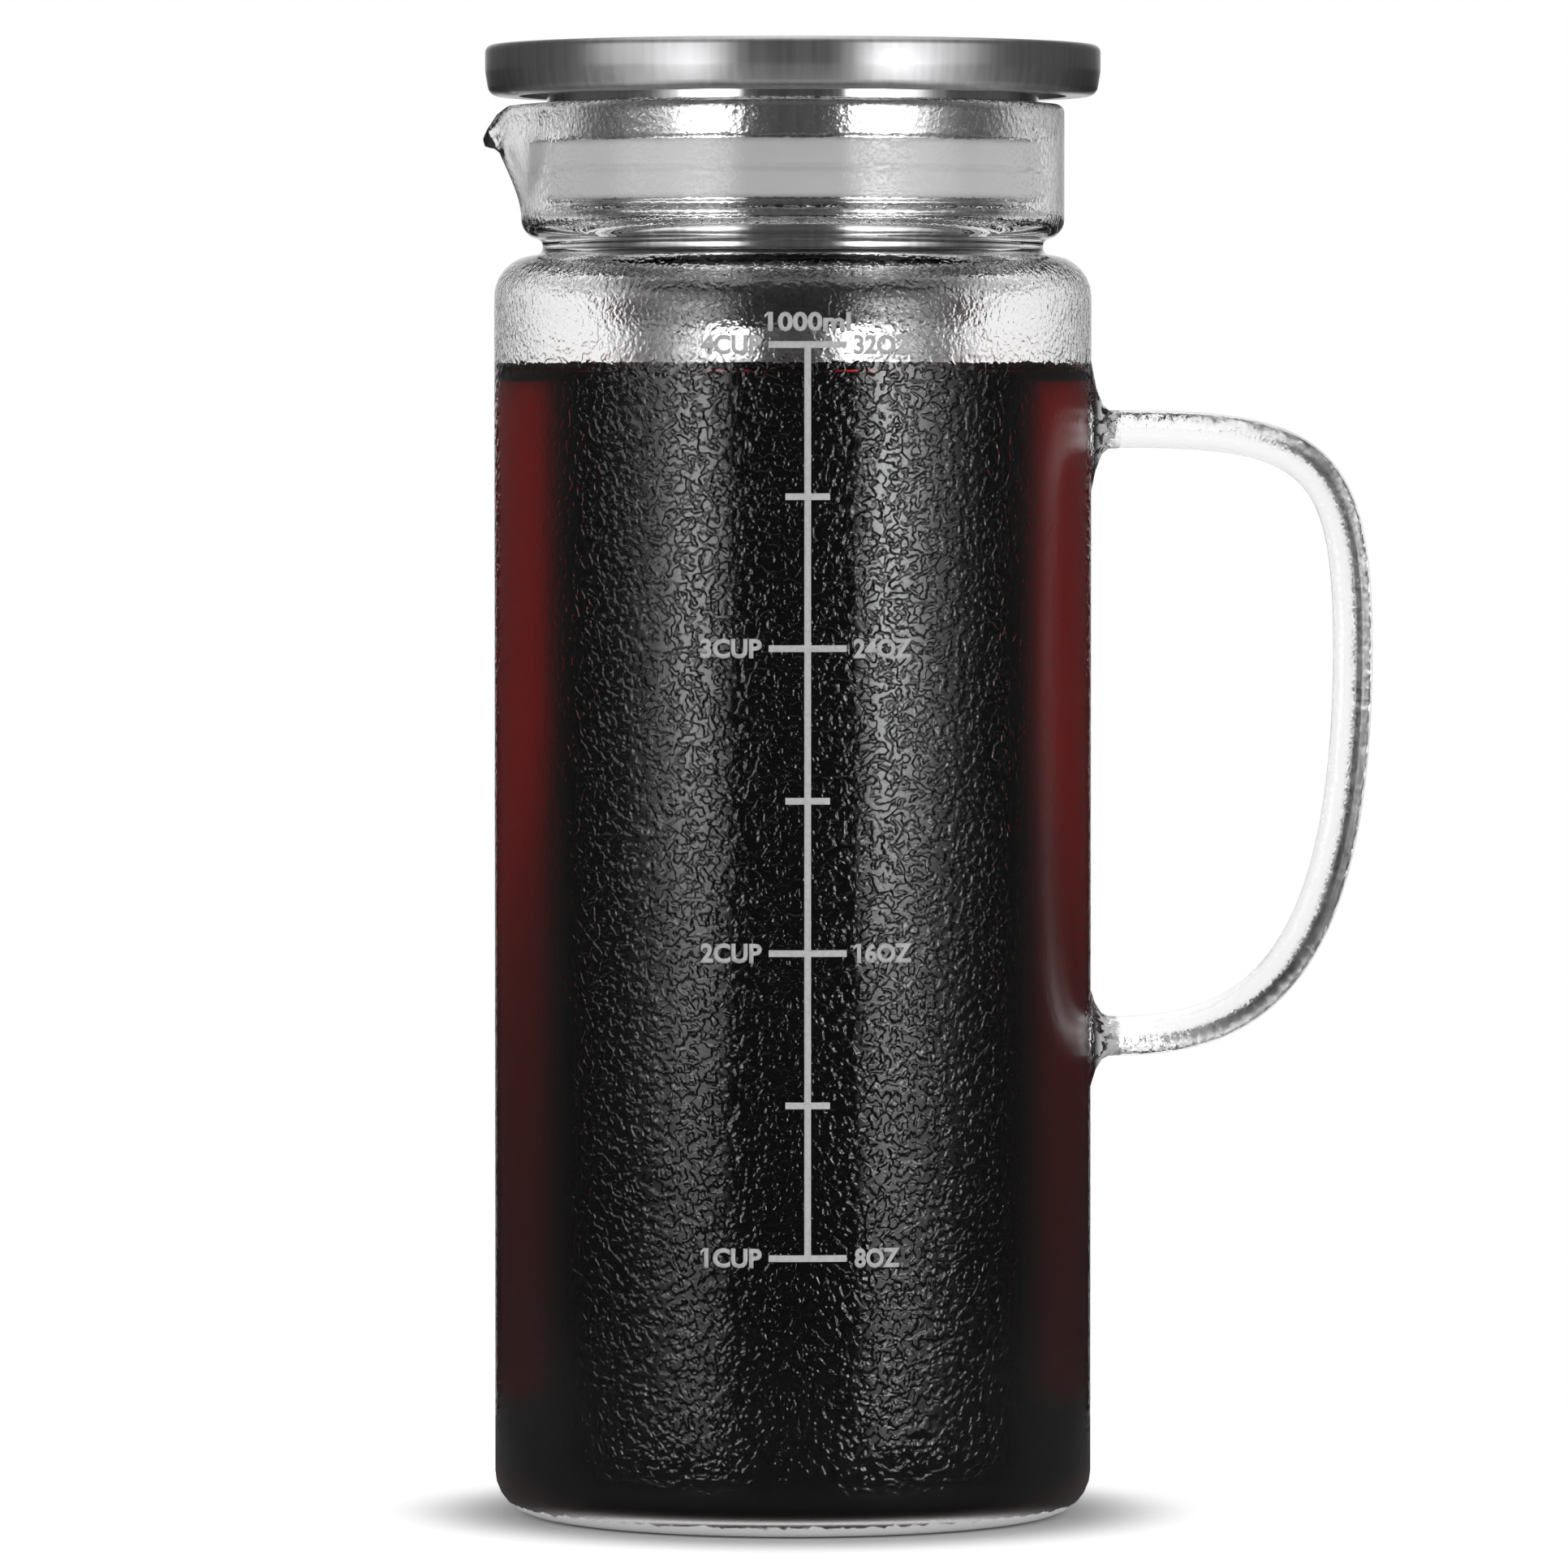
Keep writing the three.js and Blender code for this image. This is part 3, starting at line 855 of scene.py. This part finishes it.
def outer_half_of_rod(face):
    """True for the rod's faces that lie outside its middle line, away from the fingers."""
    middle = face.center
    if middle.x < handle_low.x + 2 * mm:
        return False
    nearest = min(range(len(path)), key=lambda index: (path[index] - middle).length)
    ahead = path[min(nearest + 1, len(path) - 1)] - path[max(nearest - 1, 0)]
    outwards = Vector((-ahead.z, 0, ahead.x)).normalized()
    return (middle - path[nearest]).dot(outwards) > 0.12 * rod_thickness


def stands_on_table(face):
    out = math.hypot(face.center.x, face.center.y)
    return face.normal.z < -0.9 and face.center.z < 0.05 * mm and out > standing_radius


def finish_faces(piece, test, slot_index):
    """Gives the faces that pass the test the finish of one slot."""
    object_mode()
    bpy.context.tool_settings.mesh_select_mode = (False, False, True)
    for parts in (piece.data.vertices, piece.data.edges):
        parts.foreach_set("select", [False] * len(parts))
    chosen = [test(f) for f in piece.data.polygons]
    piece.data.polygons.foreach_set("select", chosen)
    edit_mode()
    piece.active_material_index = slot_index
    bpy.ops.object.material_slot_assign()
    object_mode()
    print(piece.name, "slot", slot_index, "has", sum(chosen), "faces")


for finish in (dewy_glass, clear_glass, wetted_glass, misty_glass, standing_glass):
    glass.data.materials.append(finish)
tests = (faces_inwards, touches_brew, outer_half_of_rod, stands_on_table)
for slot_index, test in enumerate(tests, 1):
    finish_faces(glass, test, slot_index)
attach(glass, "carafe")
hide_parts("glass_carafe", "glass_handle")

# %% [markdown]
# ## The coffee
# The brew fills the jug to just under its highest mark. Where it meets the glass it
# climbs a little. Its side lies a hair inside the glass wall's skin, because then a ray
# goes from glass to coffee with no air between. Its colour comes from depth: a volume
# that takes more green and blue than red is deep red at the sides, where the light
# passes the filter through less coffee. The brew round the filter is so full of fines
# that nothing shines through it, so that core is a dark body with a matt skin.

# %% Coffee
skin_overlap = 0.03 * mm
brew_radius = bore_radius + skin_overlap
coffee = spun_piece(
    "coffee",
    [
        (0, floor_thickness - skin_overlap),
        (brew_radius, floor_thickness - skin_overlap, foot_round - wall),
        (brew_radius, brew_edge),
        (brew_radius - 0.25 * mm, brew_edge),
        (brew_radius - meniscus, brew_level, 1.2 * mm),
        (0, brew_level),
    ],
)


def brew_finish(name, index):
    """Coffee whose skin bends light by its index over that of what lies outside it."""
    finish, tree = new_finish(name)
    skin = {"Color": white, "Roughness": 0.0, "IOR": index}
    skin = add_node(tree, "BsdfGlass", skin).outputs[0]
    depth = {"Color": (0.75, 0.0, 0.0, 1), "Density": 130.0}
    depth = add_node(tree, "VolumeAbsorption", depth).outputs[0]
    add_node(tree, "OutputMaterial", {"Surface": skin, "Volume": depth})
    return finish


brew_index = 1.33
coffee.data.materials.append(brew_finish("cold_brew", brew_index / glass_index))
coffee.data.materials.append(brew_finish("cold_brew_top", brew_index))
finish_faces(coffee, lambda face: face.center.z > brew_level - near and face.normal.z > 0.05, 1)
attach(coffee, "carafe")
print(count(coffee))

# %% The dark core round the filter
def brew_body(name, corners, finish):
    """A darker body that stands in the brew."""
    body = spun_piece(name, corners)
    body.data.materials.append(finish)
    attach(body, "carafe")
    print(count(body))


brew_gap = 0.3 * mm
brew_floor = floor_thickness + brew_gap
brew_top = brew_level - brew_gap
cage_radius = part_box("filter_cage")[1].y
cup_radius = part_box("filter_base")[1].y
core_radius = cup_radius + 0.5 * mm
murk_finish, murk = new_finish("brew_core_depth")
murk_stops = [(0.3, (0.0006, 0.0003, 0.0002)), (0.7, (0.002, 0.0008, 0.0004))]
show(murk, matt(murk, ramp_node(murk, noise(murk, 90.0, 3.0), murk_stops)))
core = [(0, brew_floor), (core_radius, brew_floor), (core_radius, brew_top), (0, brew_top)]
brew_body("brew_core", core, murk_finish)

# %% Painted shade low in the brew and at its top edge, and a darker layer on its floor
def darkening_in_brew(name, corners, density):
    """A body that darkens the brew: it only takes light, and its edge bends none."""
    finish, tree = new_finish(name + "_depth")
    darkness = {"Color": (0, 0, 0, 1), "Density": density}
    darkness = add_node(tree, "VolumeAbsorption", darkness).outputs[0]
    add_node(tree, "OutputMaterial", {"Volume": darkness})
    brew_body(name, corners, finish)


def heap(reach, side_top, middle_top):
    """A darker body on the rounded floor, higher at the filter than at the wall."""
    return [
        (0, brew_floor),
        (bore_radius - foot_round, brew_floor),
        (reach, brew_floor + foot_round),
        (reach, side_top),
        (cage_radius, middle_top),
        (0, middle_top),
    ]


rim_radius = bore_radius - 0.1 * mm
rim_low = brew_level - 1.7 * mm
rim = [(0, rim_low), (rim_radius, rim_low), (rim_radius, brew_top), (0, brew_top)]
# Painted shade: the brew is darker towards the bottom, and up the middle round the filter.
darkening_in_brew("brew_shade_low", heap(bore_radius - 0.4 * mm, 30 * mm, 130 * mm), 32)
# Painted shade: a thin dense layer just under the surface darkens the brew's top edge.
darkening_in_brew("brew_top_shade", rim, 500)
# The brew is darker still in a low layer on its floor, higher at the filter than at the wall.
darkening_in_brew("brew_dark_floor", heap(bore_radius - 0.5 * mm, 11 * mm, 18 * mm), 300)

# %% [markdown]
# ## The lid
# The lid is a pan of spun steel with a rolled lower edge. Under it sits a steel plug
# that reaches into the neck, and round the plug lies a milky silicone sleeve with two
# soft lobes. The steel is brushed round and round, so its highlights run up and down.

# %% Steel that is brushed in circles
def turned_steel(name, tone, roughness, anisotropy, line_depth):
    """Steel with fine lines round the upright axis and faint upright streaks."""
    finish, tree = new_finish(name)
    x, y, z = parts_of(tree, object_place(tree))
    along_section = times(tree, plus(tree, flat_length(tree, x, y), z), 3500.0)
    line_sockets = {"W": along_section, "Scale": 1.0, "Detail": 2.0}
    lines = add_node(tree, "TexNoise", line_sockets, noise_dimensions="1D")
    streaks = noise(tree, 900.0, place=object_place(tree, (1, 1, 0.03)))
    clouds = noise(tree, 60.0, 3.0)
    wear = plus(tree, times(tree, streaks, 0.12), times(tree, clouds, 0.1))
    low = tuple(v * 0.82 for v in tone)
    tangent = add_node(tree, "Tangent", direction_type="RADIAL", axis="Z")
    steel = {
        "Base Color": ramp_node(tree, streaks, [(0.3, low), (0.7, tone)]),
        "Metallic": 1.0,
        "Roughness": plus(tree, wear, roughness - 0.11),
        "Anisotropic": anisotropy,
        "Anisotropic Rotation": 0.25,
        "Tangent": tangent.outputs[0],
        "Normal": bump(tree, lines.outputs["Fac"], line_depth, 0.5),
    }
    show(tree, shiny(tree, steel))
    return finish


lid_steel = turned_steel("lid_steel", (0.6, 0.6, 0.61), 0.34, 0.75, 0.01 * mm)
plug_steel = turned_steel("plug_steel", (0.72, 0.72, 0.73), 0.12, 0.3, 0.004 * mm)
collar_steel = turned_steel("collar_steel", (0.68, 0.68, 0.69), 0.2, 0.3, 0.005 * mm)
print("steel finishes ready")

# %% The pan
lid_low, lid_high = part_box("lid_cap")
lid_radius = lid_high.y
lid_sheet = 0.8 * mm
lid_bore = lid_radius - lid_sheet
lid_lip = lid_radius - 5 * mm
top_round = 1.1 * mm
tuck = 0.6 * mm
tuck_height = 3.6 * mm
tuck_round = 4 * mm
roll_round = 1.6 * mm
lid_cap = spun_piece(
    "lid_cap_spun",
    [
        (0, lid_high.z - lid_sheet),
        (lid_bore, lid_high.z - lid_sheet, top_round - lid_sheet),
        (lid_bore, lid_low.z + tuck_height, tuck_round),
        (lid_bore - tuck, lid_low.z + lid_sheet, roll_round - lid_sheet),
        (lid_lip, lid_low.z + lid_sheet),
        (lid_lip, lid_low.z),
        (lid_radius - tuck, lid_low.z, roll_round),
        (lid_radius, lid_low.z + tuck_height, tuck_round),
        (lid_radius, lid_high.z, top_round),
        (0, lid_high.z),
    ],
)
dress(lid_cap, lid_steel, "lid", "lid_cap")

# %% The plug
plug_low, plug_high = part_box("lid_plug")
seat_low, seat_high = 193.05 * mm, 202.3 * mm
seat_radius = 34.4 * mm
plug_radius = 36.2 * mm
foot_radius = 36 * mm
brim_low = plug_high.z - lid_sheet
lid_plug = spun_piece(
    "lid_plug_spun",
    [
        (0, plug_low.z),
        (foot_radius, plug_low.z, 0.44 * mm),
        (foot_radius, seat_low, 0.3 * mm),
        (seat_radius, seat_low),
        (seat_radius, seat_high),
        (plug_radius, seat_high, 0.4 * mm),
        (plug_radius, brim_low, 0.6 * mm),
        (plug_high.y, brim_low),
        (plug_high.y, plug_high.z),
        (plug_radius - lid_sheet, plug_high.z),
        (plug_radius - lid_sheet, seat_high + lid_sheet),
        (seat_radius - lid_sheet, seat_high + lid_sheet),
        (seat_radius - lid_sheet, plug_low.z + lid_sheet),
        (0, plug_low.z + lid_sheet),
    ],
)
dress(lid_plug, plug_steel, "lid", "lid_plug")

# %% The silicone sleeve
seal_low, seal_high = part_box("lid_seal")
seal_radius = seal_high.y
seal_bore = seat_radius + 0.3 * mm
seal_middle = (seal_low.z + seal_high.z) / 2
groove = 0.7 * mm
groove_half = 0.6 * mm
lid_seal = spun_piece(
    "lid_seal_moulded",
    [
        (seal_bore, seal_low.z),
        (seal_radius, seal_low.z, mm),
        (seal_radius, seal_middle - groove_half, groove / 2),
        (seal_radius - groove, seal_middle, 0.2 * mm),
        (seal_radius, seal_middle + groove_half, groove / 2),
        (seal_radius, seal_high.z, mm),
        (seal_bore, seal_high.z),
        (seal_bore, seal_low.z),
    ],
)
milky_silicone, milk = new_finish("milky_silicone")
grain = noise(milk, 400.0, 3.0)
silicone = {
    "Base Color": ramp_node(milk, noise(milk, 50.0), [(0.3, 0.82), (0.7, 0.9)]),
    "Roughness": map_range(milk, grain, 0.3, 0.7, 0.42, 0.58),
    "Subsurface Weight": 0.6,
    "Subsurface Radius": (2 * mm, 2 * mm, 2 * mm),
    "Subsurface Scale": 1.0,
    "IOR": 1.41,
    "Normal": bump(milk, grain, 0.03 * mm, 0.2),
}
show(milk, shiny(milk, silicone))
dress(lid_seal, milky_silicone, "seal", "lid_seal")

# %% [markdown]
# ## The filter
# The filter hangs on a ledge inside the neck by the beaded edge of its collar. Below
# the ledge the collar is a funnel that narrows to the tube, and it shows through the
# glass above the coffee. The tube, the mesh in it and the cup below stand in the dark,
# and come to light when the filter is lifted. The tube is rolled sheet with rows of
# punched windows. A window could be cut into the faces by hand, but a punch is closer to
# how it is made: one punch is shaped, copied in rows and columns, and taken away from
# the tube with a boolean.

# %% The collar
collar_low, collar_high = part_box("filter_collar")
rim_radius = collar_high.y
bead_radius = rim_radius - 1.1 * mm
flange_low = 190.8 * mm
flange_top = 191.6 * mm
throat_radius = 33.4 * mm
throat_low = 185.3 * mm
tube_radius = 27.1 * mm
skirt_top = 175.1 * mm
funnel_round = 1.6 * mm
collar_sheet = 0.7 * mm
collar = spun_piece(
    "filter_collar_spun",
    [
        (tube_radius, collar_low.z),
        (tube_radius, skirt_top, funnel_round),
        (throat_radius, throat_low, funnel_round),
        (throat_radius, flange_low, 0.3 * mm),
        (rim_radius, flange_low, 0.3 * mm),
        (rim_radius, collar_high.z, 0.4 * mm),
        (bead_radius, collar_high.z, 0.2 * mm),
        (bead_radius, flange_top),
        (throat_radius - collar_sheet, flange_top, 0.3 * mm),
        (throat_radius - collar_sheet, throat_low, funnel_round),
        (tube_radius - collar_sheet, skirt_top, funnel_round),
        (tube_radius - collar_sheet, collar_low.z),
        (tube_radius, collar_low.z),
    ],
)
dress(collar, collar_steel, "filter", "filter_collar")

# %% Finishes for the tube, the mesh and the cup
def woven_steel(name, pitch, radius):
    """A plain weave of fine wire round a tube."""
    finish, tree = new_finish(name)
    x, y, z = parts_of(tree, object_place(tree))
    wires_round = round(math.tau * radius / pitch / 2) * 2
    turn = times(tree, math_node(tree, "ARCTAN2", y, x), wires_round / 2)
    across = math_node(tree, "SINE", turn)
    up = math_node(tree, "SINE", times(tree, z, math.pi / pitch))
    height = math_node(tree, "MULTIPLY_ADD", times(tree, across, up), 0.5, 0.5)
    # Painted shade: the weave is painted dark where it lies low, in the gaps between the wires.
    wire = {
        "Base Color": ramp_node(tree, height, [(0.2, 0.12), (0.8, 0.5)]),
        "Metallic": 1.0,
        "Roughness": math_node(tree, "MULTIPLY_ADD", height, -0.1, 0.42),
        "Normal": bump(tree, height, pitch / 4),
    }
    show(tree, shiny(tree, wire))
    return finish


gauze_low, gauze_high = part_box("filter_mesh")
wire_mesh = woven_steel("wire_mesh", 0.4 * mm, gauze_high.y)
cage_steel = turned_steel("cage_steel", (0.58, 0.58, 0.59), 0.3, 0.3, 0.006 * mm)
print("filter finishes ready")

# %% The tube, the mesh and the cup
def tube_corners(outer, sheet, low, high):
    """The section of a plain tube, from its lower inner corner round to it again."""
    inner = outer - sheet
    return [(inner, low), (outer, low), (outer, high), (inner, high), (inner, low)]


cage_low, cage_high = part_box("filter_cage")
cage_section = tube_corners(cage_radius, 0.5 * mm, cage_low.z, cage_high.z)
filter_tube = spun_piece("filter_tube", cage_section)
dress(filter_tube, cage_steel, "filter", "filter_cage")
gauze_section = tube_corners(gauze_high.y, 0.3 * mm, gauze_low.z, gauze_high.z)
filter_gauze = spun_piece("filter_gauze", gauze_section)
dress(filter_gauze, wire_mesh, "filter", "filter_mesh")
cup_low, cup_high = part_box("filter_base")
cup_bore = cage_radius + 0.3 * mm
cup_floor = cup_low.z + 0.8 * mm
filter_cup = spun_piece(
    "filter_cup",
    [
        (0, cup_low.z),
        (cup_radius, cup_low.z, 1.5 * mm),
        (cup_radius, cup_high.z, 0.2 * mm),
        (cup_bore, cup_high.z),
        (cup_bore, cup_floor, 0.7 * mm),
        (0, cup_floor),
    ],
)
dress(filter_cup, cage_steel, "filter", "filter_base")

# %% The windows in the tube
window_width = 11 * mm
window_height = 21 * mm
window_corner = 3 * mm
window_rows = 5
window_columns = 6
window_margin = 4 * mm
punch_reach = 3 * mm
first_window = cup_high.z + window_margin + window_height / 2
last_window = collar_low.z - window_margin - window_height / 2
window_pitch = (last_window - first_window) / (window_rows - 1)
punch = start_plane("window_punch")
resize((window_width, window_height, 1))
bpy.ops.mesh.bevel(offset=window_corner, offset_type="OFFSET", segments=8, affect="VERTICES")
select_whole()
rotate(-math.pi / 2, "X")
shift((0, -cage_radius - punch_reach, first_window))
extrude((0, 2 * punch_reach, 0))
select_whole()
for _ in range(window_rows - 1):
    bpy.ops.mesh.duplicate_move(TRANSFORM_OT_translate={"value": (0, 0, window_pitch)})
select_whole()
column_turn = math.tau / window_columns
for _ in range(window_columns - 1):
    bpy.ops.mesh.duplicate()
    rotate(column_turn, "Z")
select_whole()
bpy.ops.mesh.normals_make_consistent(inside=False)
object_mode()
apply_modifier(filter_tube, "BOOLEAN", operation="DIFFERENCE", object=punch, solver="EXACT")
bpy.data.objects.remove(punch)
smooth(filter_tube)
print(count(filter_tube))

# %% [markdown]
# ## The printed scale
# A light grey scale is printed on the front: an upright line with long and short ticks,
# cups on its left and ounces on its right. The line is a strip with ticks extruded from
# its sides, and the numbers are text turned into mesh. All of it is then projected onto
# the glass with a shrinkwrap, and gets the thickness of a film of enamel.

# %% The line and its ticks
line_middle = 2.1 * mm
line_width = 0.95 * mm
tick_width = 0.95 * mm
long_tick = 5.6 * mm
short_tick = 3.2 * mm
tick_steps = 5
hair = 0.01 * mm
tick_heights = [172.1, 150.3, 128.5, 106.6, 84.7, 62.8, 40.8]
print_start = -60 * mm
top_mark = tick_heights[0] * mm + tick_width / 2
low_mark = tick_heights[-1] * mm - tick_width / 2
scale_line = start_plane("printed_scale")
rotate(-math.pi / 2, "X")
resize((line_width, 1, top_mark - low_mark))
shift((line_middle, print_start, (top_mark + low_mark) / 2))
for height in tick_heights:
    for edge in (-tick_width / 2, tick_width / 2):
        select_whole()
        bpy.ops.mesh.bisect(plane_co=(0, 0, height * mm + edge), plane_no=(0, 0, 1))


def on_edge(co, edge_x, height):
    """True for the line's vertices at one side of it and at one tick's height."""
    return abs(co.z - height * mm) < tick_width / 2 + hair and abs(co.x - edge_x) < hair


for index, height in enumerate(tick_heights):
    reach = (long_tick if index % 2 == 0 else short_tick) - line_width / 2
    for side in (-1, 1):
        edge_x = line_middle + side * line_width / 2
        choose(scale_line, lambda co, edge_x=edge_x, height=height: on_edge(co, edge_x, height))
        for _ in range(tick_steps):
            extrude((side * reach / tick_steps, 0, 0))
object_mode()
print(count(scale_line))

# %% The numbers
label_height = 2.85 * mm
flag_reach = 0.5 * mm
flag_width = 0.42 * mm
flag_drop = 0.5 * mm
letter_weight = 0.036
curve_steps = 3
stitch = 0.01 * mm
labels = [
    ("1000ml", 2.1, 175.4, 12.4),
    ("4CUP", -8.9, 172.1, 8.8),
    ("3CUP", -8.9, 128.5, 8.8),
    ("2CUP", -8.9, 84.7, 8.8),
    ("1CUP", -8.9, 40.8, 8.8),
    ("32OZ", 12.9, 172.1, 8.4),
    ("24OZ", 12.9, 128.5, 8.4),
    ("16OZ", 12.9, 84.7, 8.4),
    ("8OZ", 12.1, 40.8, 6.5),
]
label_pieces = []
for words, x, z, width in labels:
    bpy.ops.object.select_all(action="DESELECT")
    bpy.ops.object.text_add(location=(0, 0, 0))
    label = bpy.context.object
    label.data.body = words
    label.data.align_x = "CENTER"
    label.data.align_y = "CENTER"
    label.data.offset = letter_weight
    label.data.resolution_u = curve_steps
    bpy.ops.object.convert(target="MESH")
    label = bpy.context.object
    corners = [Vector(c) for c in label.bound_box]
    low = Vector(map(min, *corners))
    high = Vector(map(max, *corners))
    middle = (low + high) / 2
    flag = flag_reach if words.startswith("1") else 0
    grow = ((width * mm - flag) / (high.x - low.x), label_height / (high.y - low.y), 1)
    edit_mode()
    select_whole()
    bpy.ops.mesh.remove_doubles(threshold=stitch)
    shift(-middle)
    resize(grow)
    rotate(-math.pi / 2, "X")
    shift((x * mm + flag / 2, print_start, z * mm))
    if flag:
        # The figure one has a small flag that slopes down from its top to the left.
        left_edge = (x - width / 2) * mm
        flag_middle = z * mm + (label_height - flag_width) / 2
        bpy.ops.mesh.primitive_plane_add(size=1, location=(0, 0, 0), rotation=(math.pi / 2, 0, 0))
        resize((flag, 1, flag_width))
        shift((left_edge + flag / 2, print_start, flag_middle))
        choose(label, lambda co, edge=left_edge: co.x < edge + 0.1 * flag_reach)
        shift((0, 0, -flag_drop))
    object_mode()
    label_pieces.append(label)
bpy.ops.object.select_all(action="DESELECT")
for label in label_pieces:
    label.select_set(True)
scale_line.select_set(True)
bpy.context.view_layer.objects.active = scale_line
bpy.ops.object.join()
print(count(scale_line))

# %% The print is laid on the glass
print_gap = 0.05 * mm
print_film = 0.03 * mm
apply_modifier(
    scale_line,
    "SHRINKWRAP",
    wrap_method="PROJECT",
    target=glass,
    use_project_y=True,
    use_positive_direction=True,
    use_negative_direction=False,
    offset=print_gap,
)
apply_modifier(scale_line, "SOLIDIFY", thickness=print_film, offset=0)
print("print lies from y", min(v.co.y for v in scale_line.data.vertices))
enamel, ink = new_finish("grey_enamel")
ink_colour = ramp_node(ink, noise(ink, 1500.0), [(0.35, 0.5), (0.6, 0.58)])
show(ink, shiny(ink, {"Base Color": ink_colour, "Roughness": 0.55}))
scale_line.data.materials.clear()
scale_line.data.materials.append(enamel)
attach(scale_line, "carafe")

# %% The view transform, and the sizes
bpy.context.scene.view_settings.view_transform = "Standard"
low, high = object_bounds()
print("visual size in mm:", [round(v / mm, 1) for v in high - low])
